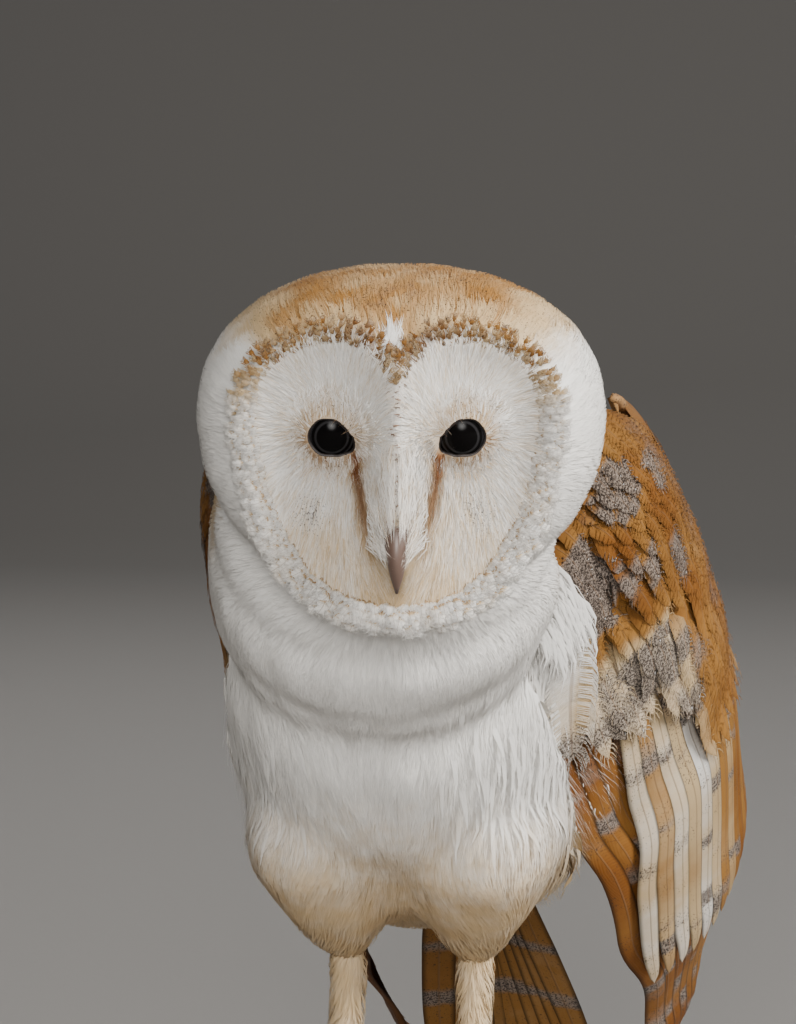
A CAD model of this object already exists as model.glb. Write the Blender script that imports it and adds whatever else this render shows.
# %% [markdown]
# # A barn owl, dressed in feathers
# The bird stands still, leans forward and bows its head. Its solids come from the frame:
# they give every outline. This file grows the skin, the feathers, the eyes, the bill and
# the claws over them, in the same metres.

# %% Load the frame
import math

import bmesh
import bpy
import numpy as np
from mathutils import Matrix, Vector
from mathutils.bvhtree import BVHTree
from mathutils.kdtree import KDTree


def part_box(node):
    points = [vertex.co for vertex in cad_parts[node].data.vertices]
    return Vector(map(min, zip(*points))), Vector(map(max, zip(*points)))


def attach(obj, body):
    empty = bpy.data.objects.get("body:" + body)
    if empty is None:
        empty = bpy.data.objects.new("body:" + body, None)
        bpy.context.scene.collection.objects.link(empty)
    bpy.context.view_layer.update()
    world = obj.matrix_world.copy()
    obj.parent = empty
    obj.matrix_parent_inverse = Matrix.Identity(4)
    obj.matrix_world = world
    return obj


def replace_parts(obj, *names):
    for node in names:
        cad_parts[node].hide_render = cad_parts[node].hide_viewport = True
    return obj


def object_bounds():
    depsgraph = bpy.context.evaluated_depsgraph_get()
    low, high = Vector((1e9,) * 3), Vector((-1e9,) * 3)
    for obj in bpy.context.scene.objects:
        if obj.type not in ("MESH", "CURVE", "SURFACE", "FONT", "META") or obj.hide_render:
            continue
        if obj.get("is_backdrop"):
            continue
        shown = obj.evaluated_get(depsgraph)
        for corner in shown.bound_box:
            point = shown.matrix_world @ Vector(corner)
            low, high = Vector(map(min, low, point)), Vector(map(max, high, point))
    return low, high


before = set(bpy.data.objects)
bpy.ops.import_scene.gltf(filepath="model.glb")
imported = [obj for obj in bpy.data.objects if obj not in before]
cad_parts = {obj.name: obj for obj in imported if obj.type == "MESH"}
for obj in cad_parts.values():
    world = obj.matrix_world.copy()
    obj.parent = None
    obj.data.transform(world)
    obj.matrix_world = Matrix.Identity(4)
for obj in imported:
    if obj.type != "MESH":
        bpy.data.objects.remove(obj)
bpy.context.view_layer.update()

MM = 0.001
SIDES = (("left", 1), ("right", -1))
chance = np.random.default_rng(20)

# %% [markdown]
# ## The head's own axes
# A face is easiest to shape in its own directions: across, back and up. The two eyes are
# balls, so the middles of their boxes give the line across. The head is bowed by a known
# angle, and that gives the other two.

# %% Head axes
BOW = math.radians(12)
EYE_APART, EYE_UP, EYE_RADIUS, EYE_OPENING = 15.2, 1.6, 8.0, 5.6


def middle_of(node):
    low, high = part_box(node)
    return np.array((low + high) / 2)


def unit(v):
    return v / np.maximum(np.linalg.norm(v, axis=-1, keepdims=True), 1e-12)


def smooth(x, start, end):
    t = np.clip((x - start) / (end - start), 0, 1)
    return t * t * (3 - 2 * t)


def profile(keys, x):
    """A value that runs smoothly through (place, value) pairs."""
    places, values = np.array(keys, float).T
    x = np.clip(x, places[0], places[-1])
    i = np.clip(np.searchsorted(places, x, side="right") - 1, 0, len(places) - 2)
    t = (x - places[i]) / (places[i + 1] - places[i])
    return values[i] + (values[i + 1] - values[i]) * t * t * (3 - 2 * t)


WAVES = chance.normal(size=(12, 3))
PHASES = chance.random(12) * 2 * math.pi


def mottle(points, size, start=0):
    """A smooth noise from -1 to 1 with patches of a size in millimetres."""
    turns = points / MM @ np.roll(WAVES, start, 0)[:8].T / size * 2 + np.roll(PHASES, start)[:8]
    return np.clip(np.sin(turns).sum(-1) / 3.2, -1, 1)


eye_left, eye_right = middle_of("eye_left"), middle_of("eye_right")
ACROSS = unit(eye_left - eye_right)
BACK = np.array([-ACROSS[1] * math.cos(BOW), ACROSS[0] * math.cos(BOW), math.sin(BOW)])
UP = np.cross(ACROSS, BACK)
HEAD_AXES = np.array([ACROSS, BACK, UP])

DISC_HALF, DISC_WAIST, DISC_RISE, DISC_DROP = 32.5, 6.0, 19.0, 43.0
RIDGE_HIGH = [(-37, 0), (-31, 3.5), (-24, 10.5), (-12, 11), (0, 8.5), (12, 5), (22, 2)]
RIDGE_HALF = [(-36, 3.6), (-24, 5), (-10, 7), (0, 8.2), (14, 7.5), (24, 5)]


def face_front(l, u):
    """How far the face stands before the head's middle, l across and u up, in millimetres."""
    aside = np.abs(l)
    dish = 4.5 * np.maximum(0, 1 - ((aside - 19) / 22) ** 2 - ((u + 6) / 34) ** 2)
    ridge = profile(RIDGE_HIGH, u) * np.exp(-((aside / profile(RIDGE_HALF, u)) ** 2))
    return 32 - 0.2 * aside - 0.1 * np.maximum(0, u) - dish + ridge


def disc_top(l):
    lobe = np.maximum(0, 1 - (np.abs(l) / DISC_HALF) ** 2.6) ** 0.38
    return DISC_WAIST + DISC_RISE * lobe - 9 * np.exp(-((l / 6) ** 2))


def disc_foot(l):
    return DISC_WAIST - DISC_DROP * np.maximum(0, 1 - (np.abs(l) / DISC_HALF) ** 3) ** 0.62


EYE_DEEP = float(face_front(EYE_APART, EYE_UP)) - math.sqrt(EYE_RADIUS**2 - EYE_OPENING**2)
HEAD_MIDDLE = (eye_left + eye_right) / 2 - (-EYE_DEEP * BACK + EYE_UP * UP) * MM


def in_head(points):
    """Millimetres across, back and up from the head's middle."""
    return (points - HEAD_MIDDLE) @ HEAD_AXES.T / MM


def from_head(spots):
    return HEAD_MIDDLE + np.asarray(spots, float) @ HEAD_AXES * MM


print("head middle", HEAD_MIDDLE.round(4), "turned", round(math.degrees(math.asin(ACROSS[1])), 1))

# %% [markdown]
# ## The skin
# Under its feathers a bird has one skin from crown to toes. The solids of flesh are
# turned to one piece with a voxel remesh, which closes the thin cuts between them. What
# stands further off than a voxel, such as the left wing and some toes, stays a closed
# shell of its own. Joining the solids by hand would give cleaner faces, but it would have
# to be done again after every change to a solid.

# %% Skin from the flesh
COAT_DEPTH = {"head": 1.0, "neck": 1.2, "trunk": 1.2, "disc": 1.2, "ruff": 1.6}
COAT_DEPTH |= {"wing": 1.6, "scapulars": 1.6, "thigh": 0.9, "tarsus": 1.0, "toe": 0.0}
PARTS = list(COAT_DEPTH)
FLESH = [n for n in sorted(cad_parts) if n.split("_")[0] in COAT_DEPTH]


def solid_of(node):
    """A merged copy of a frame node as a bmesh."""
    made = bmesh.new()
    made.from_mesh(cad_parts[node].data)
    bmesh.ops.remove_doubles(made, verts=made.verts, dist=1e-6)
    return made


def tree_of(corners, faces):
    return BVHTree.FromPolygons(corners.tolist(), faces.tolist())


flesh_corners, flesh_faces, flesh_part = [], [], []
for name in FLESH:
    solid = solid_of(name)
    start = sum(len(c) for c in flesh_corners)
    flesh_corners.append(np.array([v.co for v in solid.verts]))
    flesh_faces.append(np.array([[v.index for v in f.verts] for f in solid.faces]) + start)
    flesh_part += [PARTS.index(name.split("_")[0])] * len(solid.faces)
    solid.free()
flesh_corners, flesh_faces = np.concatenate(flesh_corners), np.concatenate(flesh_faces)
flesh_part = np.array(flesh_part)
flesh_tree = tree_of(flesh_corners, flesh_faces)


def new_object(name, mesh):
    made = bpy.data.objects.new(name, mesh)
    bpy.context.scene.collection.objects.link(made)
    return made


def finished(obj, modifier, **settings):
    """The mesh that obj has after one modifier."""
    added = obj.modifiers.new("made", modifier)
    for key, value in settings.items():
        setattr(added, key, value)
    bpy.context.view_layer.update()
    made = bpy.data.meshes.new_from_object(obj.evaluated_get(bpy.context.evaluated_depsgraph_get()))
    obj.modifiers.remove(added)
    return made


flesh_mesh = bpy.data.meshes.new("flesh")
flesh_mesh.from_pydata(flesh_corners.tolist(), [], flesh_faces.tolist())
skin = new_object("skin", flesh_mesh)
VOXEL = 1.5 * MM
skin.data = finished(skin, "REMESH", mode="VOXEL", voxel_size=VOXEL)


def values_of(items, key, width=3, kind=np.float32):
    found = np.empty(len(items) * width, kind)
    items.foreach_get(key, found)
    return found.reshape(-1, width) if width > 1 else found


edges = values_of(skin.data.edges, "vertices", 2, np.int32)
skin_spots = values_of(skin.data.vertices, "co").astype(float)
touching = np.bincount(edges.ravel(), minlength=len(skin_spots))


def relaxed(values, rounds, share=0.6):
    """Each value drawn towards the mean of its neighbours."""
    for _ in range(rounds):
        total = np.zeros_like(values)
        for k in range(values.shape[1]):
            total[:, k] = np.bincount(edges[:, 0], values[edges[:, 1], k], len(values))
            total[:, k] += np.bincount(edges[:, 1], values[edges[:, 0], k], len(values))
        values = values + share * (total / touching[:, None] - values)
    return values


def moved_to(mesh, spots):
    mesh.vertices.foreach_set("co", spots.astype(np.float32).ravel())
    mesh.update()


# %% [markdown]
# Three things turn the joined solids to a body. Where the neck meets the breast and the
# head, the corner between the solids is smoothed away. Then the surface sinks by the
# depth of the plumage over each part. Last come the soft folds of the breast, as a crease
# along a curve and a gentle noise. Sculpting by hand could give the same folds, but a
# formula keeps them the same in every run.

# %% Body from the skin
CREASE = [(-45, 152), (-34, 147), (-13, 133), (10, 137), (32, 146)]
FOLD_OUT_MOST = 0.35 * MM


def folds(points, outward):
    """How far soft folds of the breast lie in from its round form, in millimetres."""
    front = smooth(-outward[:, 1], -0.2, 0.5)
    below = points[:, 2] / MM - profile(CREASE, points[:, 0] / MM)
    crease = 0.7 * np.exp(-((below / 6.5) ** 2)) - 0.4 * np.exp(-(((below + 15) / 8) ** 2))
    tall = points * np.array([1, 1, 0.55])
    return front * (crease + 0.45 * mottle(tall, 11, 4) + 0.25 * mottle(tall, 5, 1))


nearest = [flesh_tree.find_nearest(p) for p in skin_spots.tolist()]
skin_part = flesh_part[np.array([hit[2] for hit in nearest])]


def belongs(*parts):
    """Which corners of the skin belong to some parts."""
    return np.isin(skin_part, [PARTS.index(part) for part in parts])


def share_of(*parts, rounds):
    """1 on some parts of the skin and 0 off them, with a soft border."""
    return relaxed(belongs(*parts).astype(float)[:, None], rounds)


depth = np.array(list(COAT_DEPTH.values()))[skin_part] * MM
depth = relaxed(depth[:, None], 12)[:, 0]
skin_spots = relaxed(skin_spots, 6)
aside = np.abs(skin_spots[:, :1] - middle_of("neck")[0])
behind_face = smooth(in_head(skin_spots)[:, 1:2], -20, -12)
on_neck, on_head = share_of("neck", rounds=40), share_of("head", "disc", "ruff", rounds=30)
above_legs = skin_spots[:, 2:] > 60 * MM
seam = on_neck * (1 - on_neck) * above_legs * (1 - smooth(aside, 0.03, 0.042))
seam = seam * (1 - 2 * np.minimum(on_head, 0.5))
seam = np.maximum(seam, on_head * (1 - on_head) * behind_face)
shoulder_top = share_of("scapulars", rounds=4) * smooth(skin_spots[:, 2:], 0.199, 0.206)
melted = np.clip(3.8 * seam + shoulder_top, 0, 1)
skin_spots = skin_spots + (relaxed(skin_spots, 150) - skin_spots) * melted
moved_to(skin.data, skin_spots)
outward = unit(relaxed(values_of(skin.data.vertices, "normal").astype(float), 3))
folded = share_of("trunk", "neck", "thigh", rounds=8)[:, 0] * folds(skin_spots, outward) * MM
sunk = depth + np.maximum(folded, -FOLD_OUT_MOST)
skin_spots = relaxed(skin_spots - outward * sunk[:, None], 2)
skin_spots[:, 2] = np.where(skin_spots[:, 2] < 0.5 * MM, 0, skin_spots[:, 2])
print("skin sinks by", (sunk.min() / MM).round(2), "to", (sunk.max() / MM).round(2), "mm")

# %% [markdown]
# ## The legs
# A leg is hardly thicker than a few voxels, so its skin comes out too thin. A straight
# line is fitted to each leg's solid. Skin near that line is pushed out to a least
# thickness, and its two ends are stretched into the thigh and the foot, where they hide.

# %% Legs of a least thickness
LEG_LEAST = [(8, 2.4), (11, 2.9), (20, 3.0), (56, 3.3), (64, 3.8), (70, 4.2), (75, 4.4)]
LEG_FROM, LEG_TO, LEG_AROUND = 9.2, 68.2, 5 * MM
LEG_STRETCH = ([0, LEG_FROM, 16, 58, LEG_TO], [0, 4.2, 16, 58, 77])


def corners_of(name):
    return np.array([v.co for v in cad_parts[name].data.vertices])


for word, _ in SIDES:
    solid = corners_of(f"tarsus_{word}")
    line = np.polyfit(solid[:, 2], solid[:, :2], 1)
    high = skin_spots[:, 2] / MM
    away = skin_spots[:, :2] - skin_spots[:, 2:] * line[0] - line[1]
    reach = np.maximum(np.hypot(*away.T), 0.01 * MM)
    near = (reach < LEG_AROUND) & (high > LEG_FROM) & (high < LEG_TO)
    grow = np.maximum(profile(LEG_LEAST, high) * MM - reach, 0) * near
    skin_spots[:, :2] += away * (grow / reach)[:, None]
    skin_spots[:, 2] = np.where(near, np.interp(high, *LEG_STRETCH) * MM, skin_spots[:, 2])
    print("leg", word, near.sum(), "corners held")
moved_to(skin.data, skin_spots)
print("skin", len(skin.data.polygons), "faces")
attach(skin, "root")
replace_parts(skin, *FLESH)

# %% [markdown]
# ## A map of the skin
# Each feather keeps its colour on a map of the skin, at the place where it grows. The
# skin is cut into flat islands, so that no feather shares its spot with a far one.

# %% Unwrap the skin
bpy.context.view_layer.objects.active = skin
skin.select_set(True)
bpy.ops.object.mode_set(mode="EDIT")
bpy.ops.mesh.select_all(action="SELECT")
bpy.ops.uv.smart_project(angle_limit=math.radians(66), island_margin=0.003)
bpy.ops.object.mode_set(mode="OBJECT")
skin.data.uv_layers[0].name = "OFBake"
skin.data.calc_loop_triangles()
triangles = values_of(skin.data.loop_triangles, "vertices", 3, np.int32)
triangle_corners = values_of(skin.data.loop_triangles, "loops", 3, np.int32)
unwrap = values_of(skin.data.uv_layers["OFBake"].uv, "vector", 2).astype(float)
outward = unit(relaxed(values_of(skin.data.vertices, "normal").astype(float), 2))
skin_tree = tree_of(skin_spots, triangles)
print("triangles", len(triangles), "islands in", unwrap.min(0).round(2), unwrap.max(0).round(2))


def on_skin(points):
    """The nearest places on the skin, the normals there, and their spots on its map."""
    hits = [skin_tree.find_nearest(p)[0:3:2] for p in points.tolist()]
    index = np.array([hit[1] for hit in hits])
    places = np.array([hit[0] for hit in hits])
    a, b, c = (skin_spots[triangles[index, k]] for k in range(3))
    whole = np.cross(b - a, c - a)
    size = np.maximum((whole**2).sum(1), 1e-24)
    part_b = (np.cross(places - a, c - a) * whole).sum(1) / size
    part_c = (np.cross(b - a, places - a) * whole).sum(1) / size
    share = np.stack([1 - part_b - part_c, part_b, part_c], 1)
    normals = unit((outward[triangles[index]] * share[:, :, None]).sum(1))
    return places, normals, (unwrap[triangle_corners[index]] * share[:, :, None]).sum(1)


# %% [markdown]
# ## Scattering and combing
# Roots are scattered by area, so that no patch is bald. From each root a path walks over
# the skin: it steps along the lie of the plumage and comes back down to the surface.

# %% Roots and paths
def scattered(parts, count, wanted=None):
    """Roots on some parts of the skin. wanted gives each triangle's share, 0 to 1."""
    chosen = belongs(*parts)[triangles[:, 0]]
    a, b, c = (skin_spots[triangles[:, k]] for k in range(3))
    weight = np.linalg.norm(np.cross(b - a, c - a), axis=1) * chosen
    if wanted is not None:
        weight = weight * wanted((a + b + c) / 3, unit(outward[triangles[:, 0]]))
    ladder = np.cumsum(weight)
    picks = (np.arange(count) + chance.random(count)) / count * ladder[-1]
    picks = np.minimum(np.searchsorted(ladder, picks), len(ladder) - 1)
    s, t = chance.random(count), chance.random(count)
    s, t = np.where(s + t > 1, 1 - s, s), np.where(s + t > 1, 1 - t, t)
    return a[picks] + (b - a)[picks] * s[:, None] + (c - a)[picks] * t[:, None]


def along_surface(way, normals):
    return unit(way - normals * (way * normals).sum(-1, keepdims=True))


def turned(way, normals, angle):
    angle = np.asarray(angle)[..., None]
    return way * np.cos(angle) + np.cross(normals, way) * np.sin(angle)


def walk(roots, flow, length, steps, stray=0.1):
    """Paths over the skin of a length in metres, the normals on them, and the roots' spots."""
    place, normal, spots = on_skin(roots)
    path, up = [place], [normal]
    own_way = chance.normal(0, stray, len(roots))
    for _ in range(steps):
        way = turned(flow(place, normal), normal, own_way)
        place, normal, _ = on_skin(place + way * (length / steps)[:, None])
        path.append(place)
        up.append(normal)
    return np.stack(path, 1), np.stack(up, 1), spots


def clumped(path, every, share):
    """Strands drawn together towards their tips, in tufts of that many."""
    picked = chance.choice(len(path), max(1, len(path) // every), replace=False)
    tree = KDTree(len(picked))
    for k, root in enumerate(path[picked, 0].tolist()):
        tree.insert(root, k)
    tree.balance()
    tuft = picked[[tree.find(root)[1] for root in path[:, 0].tolist()]]
    reach = np.linspace(0, 1, path.shape[1])[None, :, None] ** 1.5
    return path + (path[tuft] - path) * reach * share


# %% [markdown]
# ## Strands and vanes
# Soft plumage is made of strands: thin closed blades with three sides that run out to a
# point. Stiff feathers are vanes: closed leaves with a rounded tip and notched edges.
# Thousands of either are one mesh, made from arrays in one go.

# %% Strands
PATCH = 0.0015
BLADE, LOW_BLADE, BARB = (0.8, 1.0, 0.7), (0.85, 0.85), (0.7, 1.0, 0.7)


def pile_of(corners, faces, under, normals, spots, tint, lie):
    """A batch of closed forms with the same faces, laid end to end in plain arrays."""
    count, each = corners.shape[:2]
    faces = faces[None] + each * np.arange(count)[:, None, None]
    return {
        "corners": corners.reshape(-1, 3),
        "faces": faces.reshape(-1, 3),
        "under": np.tile(under, count),
        "normals": normals.reshape(-1, 3),
        "map": spots.reshape(-1, 2),
        "tint": tint.reshape(-1, 3),
        "lie": lie.reshape(-1, 3),
    }


def strand_faces(sections):
    """Faces of one blade, and which of them look down."""
    made, under = [(0, 1, 2)], [False]
    for k in range(sections - 1):
        low, high = 3 * k, 3 * k + 3
        for m in range(3):
            n = (m + 1) % 3
            if k < sections - 2:
                made += [(low + m, high + n, low + n), (low + m, high + m, high + n)]
            else:
                made.append((low + m, high, low + n))
            under += [m == 0] * (len(made) - len(under))
    return np.array(made), np.array(under)


def strands(path, up, width, spots, tint, taper=BLADE, crown=0.35, soft=0.5):
    """Blades along paths. A path's last place is the blade's point."""
    count, sections = path.shape[:2]
    ahead = unit(np.gradient(path, axis=1))
    aside = unit(np.cross(ahead, up))
    wide = width[:, None, None] * np.array(taper)[None, :, None] / 2
    body = path[:, :-1]
    left, right = body - aside[:, :-1] * wide, body + aside[:, :-1] * wide
    ridge = body + up[:, :-1] * wide * crown * 2
    corners = np.stack([left, right, ridge], 2).reshape(count, -1, 3)
    corners = np.concatenate([corners, path[:, -1:]], 1)
    normal = np.stack([up - aside * soft, up + aside * soft, up], 2)[:, :-1].reshape(count, -1, 3)
    normal = unit(np.concatenate([normal, up[:, -1:]], 1))
    section = np.append(np.repeat(np.arange(sections - 1), 3), sections - 1)
    reach = section / (sections - 1)
    over = np.append(np.tile([-1.0, 1.0, 0.0], sections - 1), 0.0)
    patch = np.stack([over, 2 * reach - 1], 1) * PATCH
    own = chance.random(count)
    lie = np.stack(np.broadcast_arrays(reach[None], own[:, None], over[None]), 2)
    if tint.ndim == 2:
        tint = np.repeat(tint[:, None], sections, 1)
    faces, under = strand_faces(sections)
    return pile_of(corners, faces, under, normal, spots[:, None] + patch[None], tint[:, section], lie)


def joined_piles(piles):
    sizes = np.cumsum([0] + [len(pile["corners"]) for pile in piles])
    made = {key: np.concatenate([pile[key] for pile in piles]) for key in piles[0]}
    made["faces"] = np.concatenate([pile["faces"] + start for pile, start in zip(piles, sizes)])
    return made


def keep_on_points(mesh, **values):
    """Named vectors on a mesh's points, for the materials to read."""
    for key, value in values.items():
        kept = mesh.attributes.new(key, "FLOAT_VECTOR", "POINT")
        kept.data.foreach_set("vector", value.astype(np.float32).ravel())


def grown(name, piles, material):
    """One object from piles of strands and vanes."""
    joined = joined_piles(piles)
    faces = joined["faces"]
    mesh = bpy.data.meshes.new(name)
    mesh.vertices.add(len(joined["corners"]))
    mesh.vertices.foreach_set("co", joined["corners"].astype(np.float32).ravel())
    mesh.loops.add(faces.size)
    mesh.loops.foreach_set("vertex_index", faces.astype(np.int32).ravel())
    mesh.polygons.add(len(faces))
    mesh.polygons.foreach_set("loop_start", np.arange(0, faces.size, 3, dtype=np.int32))
    mesh.polygons.foreach_set("use_smooth", np.ones(len(faces), bool))
    layer = mesh.uv_layers.new(name="OFBake")
    layer.uv.foreach_set("vector", joined["map"][faces.ravel()].astype(np.float32).ravel())
    keep_on_points(mesh, tint=joined["tint"], lie=joined["lie"])
    mesh.update(calc_edges=True)
    way = joined["normals"][faces] * np.where(joined["under"], -1, 1)[:, None, None]
    mesh.normals_split_custom_set(way.reshape(-1, 3))
    mesh.materials.append(material)
    made = new_object(name, mesh)
    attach(made, "root")
    print(name, len(faces), "triangles")
    return made


# %% [markdown]
# A vane could be one flat sheet, but a sheet has no thickness to print or to weigh. So a
# vane has a top and a bottom that share their edge. It can be cupped across, and every
# other row can be notched, as a worn feather is.

# %% Vanes
def vane_grid(rows, columns):
    """Faces of a closed leaf: a top and a bottom sheet that share their edge."""
    index_top = np.arange((rows + 1) * columns).reshape(rows + 1, columns)
    index_low = index_top.copy()
    inner = np.zeros_like(index_top, bool)
    inner[1:-1, 1:-1] = True
    index_low[inner] = index_top.size + np.arange(inner.sum())
    faces, under = [], []
    for r in range(rows):
        for c in range(columns - 1):
            for grid, turned_over in ((index_top, False), (index_low, True)):
                p, q, s, t = grid[r, c], grid[r, c + 1], grid[r + 1, c + 1], grid[r + 1, c]
                faces += [(p, s, q), (p, t, s)] if turned_over else [(p, q, s), (p, s, t)]
                under += [turned_over] * 2
    return np.array(faces), np.array(under), inner


def vanes(path, up, half_width, shape, spots, tint, columns=5, thick=0.3, camber=0.12, tilt=0.0,
          teeth=0.0, cell=None, warm=0.0):
    """Leaves along paths. shape gives the half width's share at each row, warm gilds one side."""
    count, rows = path.shape[0], path.shape[1] - 1
    ahead = unit(np.gradient(path, axis=1))
    aside = unit(np.cross(ahead, up))
    over = np.linspace(-1, 1, columns)
    reach = np.linspace(0, 1, rows + 1)
    notch = 1 - teeth * (np.arange(rows + 1) % 2) * (reach > 0.15) * (reach < 0.97)
    wide = half_width[:, None] * np.asarray(shape)[None]
    edge = np.where(np.abs(over) == 1, 1.0, 0.0)
    spread = wide[:, :, None] * over * (1 - edge * (1 - notch[None, :, None]))
    rise = camber * wide[:, :, None] * (1 - over**2)
    rise = rise + tilt * over * np.minimum(wide[:, :, None], 3 * MM)
    top = path[:, :, None] + aside[:, :, None] * spread[..., None] + up[:, :, None] * rise[..., None]
    faces, under, inner = vane_grid(rows, columns)
    low = top - up[:, :, None] * thick * MM
    corners = np.concatenate([top.reshape(count, -1, 3), low[:, inner]], 1)
    lean = unit(up[:, :, None] + aside[:, :, None] * over[None, None, :, None] * camber * 1.6)
    normal = np.concatenate([lean.reshape(count, -1, 3), lean[:, inner]], 1)
    on_top = np.tile(over, rows + 1), np.repeat(reach, columns), np.repeat(np.arange(rows + 1), columns)
    across, along, row = (np.concatenate([v, v.reshape(rows + 1, -1)[inner]]) for v in on_top)
    own = chance.random(count)
    lie = np.stack(np.broadcast_arrays(along[None], own[:, None], across[None]), 2)
    if cell is None:
        spots = spots[:, None] + np.stack([across, 2 * along - 1], 1)[None] * PATCH
    else:
        spots = spots[:, None] + np.stack([across / 2 + 0.5, along], 1)[None] * cell
    if tint.ndim == 2:
        tint = np.repeat(tint[:, None], rows + 1, 1)
    gilt = np.stack([np.maximum(across * warm, 0), across * 0, across * 0], 1)
    return pile_of(corners, faces, under, normal, spots, tint[:, row] + gilt[None], lie)


def barbs(path, up, half_width, shape, spots, tint, per_side, long, span, width, spill=1.12, rise=0.15):
    """Fine strands that leave the shafts of leaves on both sides and bend to their tips."""
    count, rows = path.shape[0], path.shape[1] - 1
    ahead = unit(np.gradient(path, axis=1))
    aside = unit(np.cross(ahead, up))
    every = np.arange(count)
    s = np.array([0.12, 0.5, 0.85, 1.0])[None, :, None]
    piles = []
    for k in range(per_side * 2):
        sign = 1 if k % 2 else -1
        at = span[0] + (span[1] - span[0]) * (k // 2) / max(1, per_side - 1)
        at = np.clip(at + chance.uniform(-0.02, 0.02, count), 0, 1) * rows
        row = np.minimum(at.astype(int), rows - 1)
        share = (at - row)[:, None]
        here = (v[every, row] * (1 - share) + v[every, row + 1] * share for v in (path, ahead, up, aside))
        root, way, over, side = (v[:, None] for v in here)
        wide = (half_width * np.interp(at, np.arange(rows + 1), shape) * spill)[:, None, None]
        own = (long * chance.uniform(0.8, 1.2, count) * MM)[:, None, None]
        lines = root + side * sign * wide * np.sin(s * math.pi / 2)
        lines = lines + way * own * s**1.6 + over * (rise * wide * (1 - s**2) + 0.25 * MM)
        lines = lines + chance.normal(0, 0.12, (count, 4, 3)) * MM * s
        own_tint = tint if tint.ndim == 2 else tint[every, np.minimum(row + 1, rows)]
        wide = np.full(count, width) * MM
        piles.append(strands(lines, np.repeat(over, 4, 1), wide, spots, own_tint, BARB, 0.3, 0.3))
    return joined_piles(piles)


def cells(count):
    """One tall cell of the map for each of some large feathers, and a cell's size."""
    k = np.arange(count)
    return np.stack([(k + 0.04) / count, np.full(count, 0.02)], 1), np.array([0.92 / count, 0.96])


def leaf_shape(rows, root=0.25, blunt=0.5, point=3.0):
    """The half width of a feather along its length, from a narrow root to a rounded tip."""
    t = np.linspace(0, 1, rows + 1)
    return np.maximum((root + (1 - root) * np.minimum(1, t / 0.45) ** blunt) * (1 - t**point) ** 0.5, 0.02)


# %% [markdown]
# ## The wing panels
# A folded wing is a cupped panel. Its feathers lie in rows from the wrist to the tip, and
# each row covers the roots of the next. Every place on it is given in the wing's own
# millimetres: a from wrist to tip, b up over the back and n out from the body.

# %% Wing frames
OWL_SHIFT = np.array([-3.73, -40.57, 0.0])
WINGS = {"left": (1, (47, -19, 186), (58, 187, 12)), "right": (-1, (44.5, -14, 185), (43, 191, 11))}
BULGE = [(-10, -2), (43, 5), (109, 14.5), (130, 17), (180, 14), (225, 5), (269, -9)]


def wing_axes(word):
    side, wrist, tip = WINGS[word]
    wrist, tip = np.array(wrist, float), np.array(tip, float)
    along = unit(tip - wrist)
    outwards = unit(np.array([1.0, 0, 0]) - along * along[0])
    return side, wrist, np.array([along, np.cross(outwards, along), outwards])


def on_wing(word, a, b, n):
    """A place on a wing in metres."""
    side, wrist, axes = wing_axes(word)
    a, b, n = np.broadcast_arrays(*(np.asarray(v, float) for v in (a, b, n)))
    away = b - 30
    cupped = n + profile(BULGE, a) - np.where(away < 0, 0.0085, 0.009) * away**2
    cupped = cupped - 0.02 * np.maximum(0, b - 50) ** 2
    place = wrist + np.stack([a, b, cupped], -1) @ axes
    return (place * np.array([side, 1, 1]) + OWL_SHIFT) * MM


def wing_normal(word, a, b):
    here = on_wing(word, a, b, 0)
    ahead, over = on_wing(word, a + 0.5, b, 0) - here, on_wing(word, a, b + 0.5, 0) - here
    return unit(np.cross(ahead, over)) * WINGS[word][0]


def cushion(spec, a, b):
    """How far a cushion of feathers stands off the wing at a and b."""
    low, high = profile(spec["low"], a), profile(spec["high"], a)
    i = np.arccos(np.clip(1 - 2 * (a - spec["from"]) / (spec["to"] - spec["from"]), -1, 1)) / math.pi
    ends = np.sin(math.pi * np.clip(i, 0.03, 0.97)) ** 0.45
    middle, half = (low + high) / 2, (high - low) / 2 * ends
    round_off = np.maximum(0, 1 - ((b - middle) / np.maximum(half, 0.1)) ** 2) ** 0.45
    return 0.8 + profile(spec["height"], a) * round_off * ends


ARM = {"from": -10, "to": 120, "low": [(-10, 10), (0, 6.6), (28, 3.1), (60, -2), (120, 3)],
       "high": [(-10, 32), (25, 46), (80, 54), (120, 50)],
       "height": [(-10, 4), (20, 8.5), (60, 9), (90, 4), (120, 1)]}
SCAPULARS = {"from": 6, "to": 118, "low": [(6, 41), (25, 47), (80, 55), (118, 54)],
             "high": [(6, 46), (40, 63), (80, 70), (118, 64)],
             "height": [(6, 4), (40, 6.5), (80, 6), (118, 3)]}
ALULA = {"from": 2, "to": 66, "low": [(2, -9), (28, -22), (66, -24)], "high": [(2, 6), (28, 2.5), (66, -6)],
         "height": [(2, 5), (28, 8), (66, 3)]}

# %% [markdown]
# ## Plumage colour
# White, buff, gold and rust run into each other, and grey lies over them as fine pepper.
# Each place on the bird has three amounts, gold, rust and grey. The skin and the feathers
# over it carry the same amounts, and one node group turns them into colour.

# %% Node helpers
def socket(value):
    return value if isinstance(value, bpy.types.NodeSocket) else value.outputs[0]


def node(tree, kind, inputs=(), **settings):
    made = tree.nodes.new(kind)
    for key, value in settings.items():
        setattr(made, key, value)
    for key, value in dict(inputs).items():
        if isinstance(value, (bpy.types.NodeSocket, bpy.types.Node)):
            tree.links.new(socket(value), made.inputs[key])
        else:
            made.inputs[key].default_value = value
    return made


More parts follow.
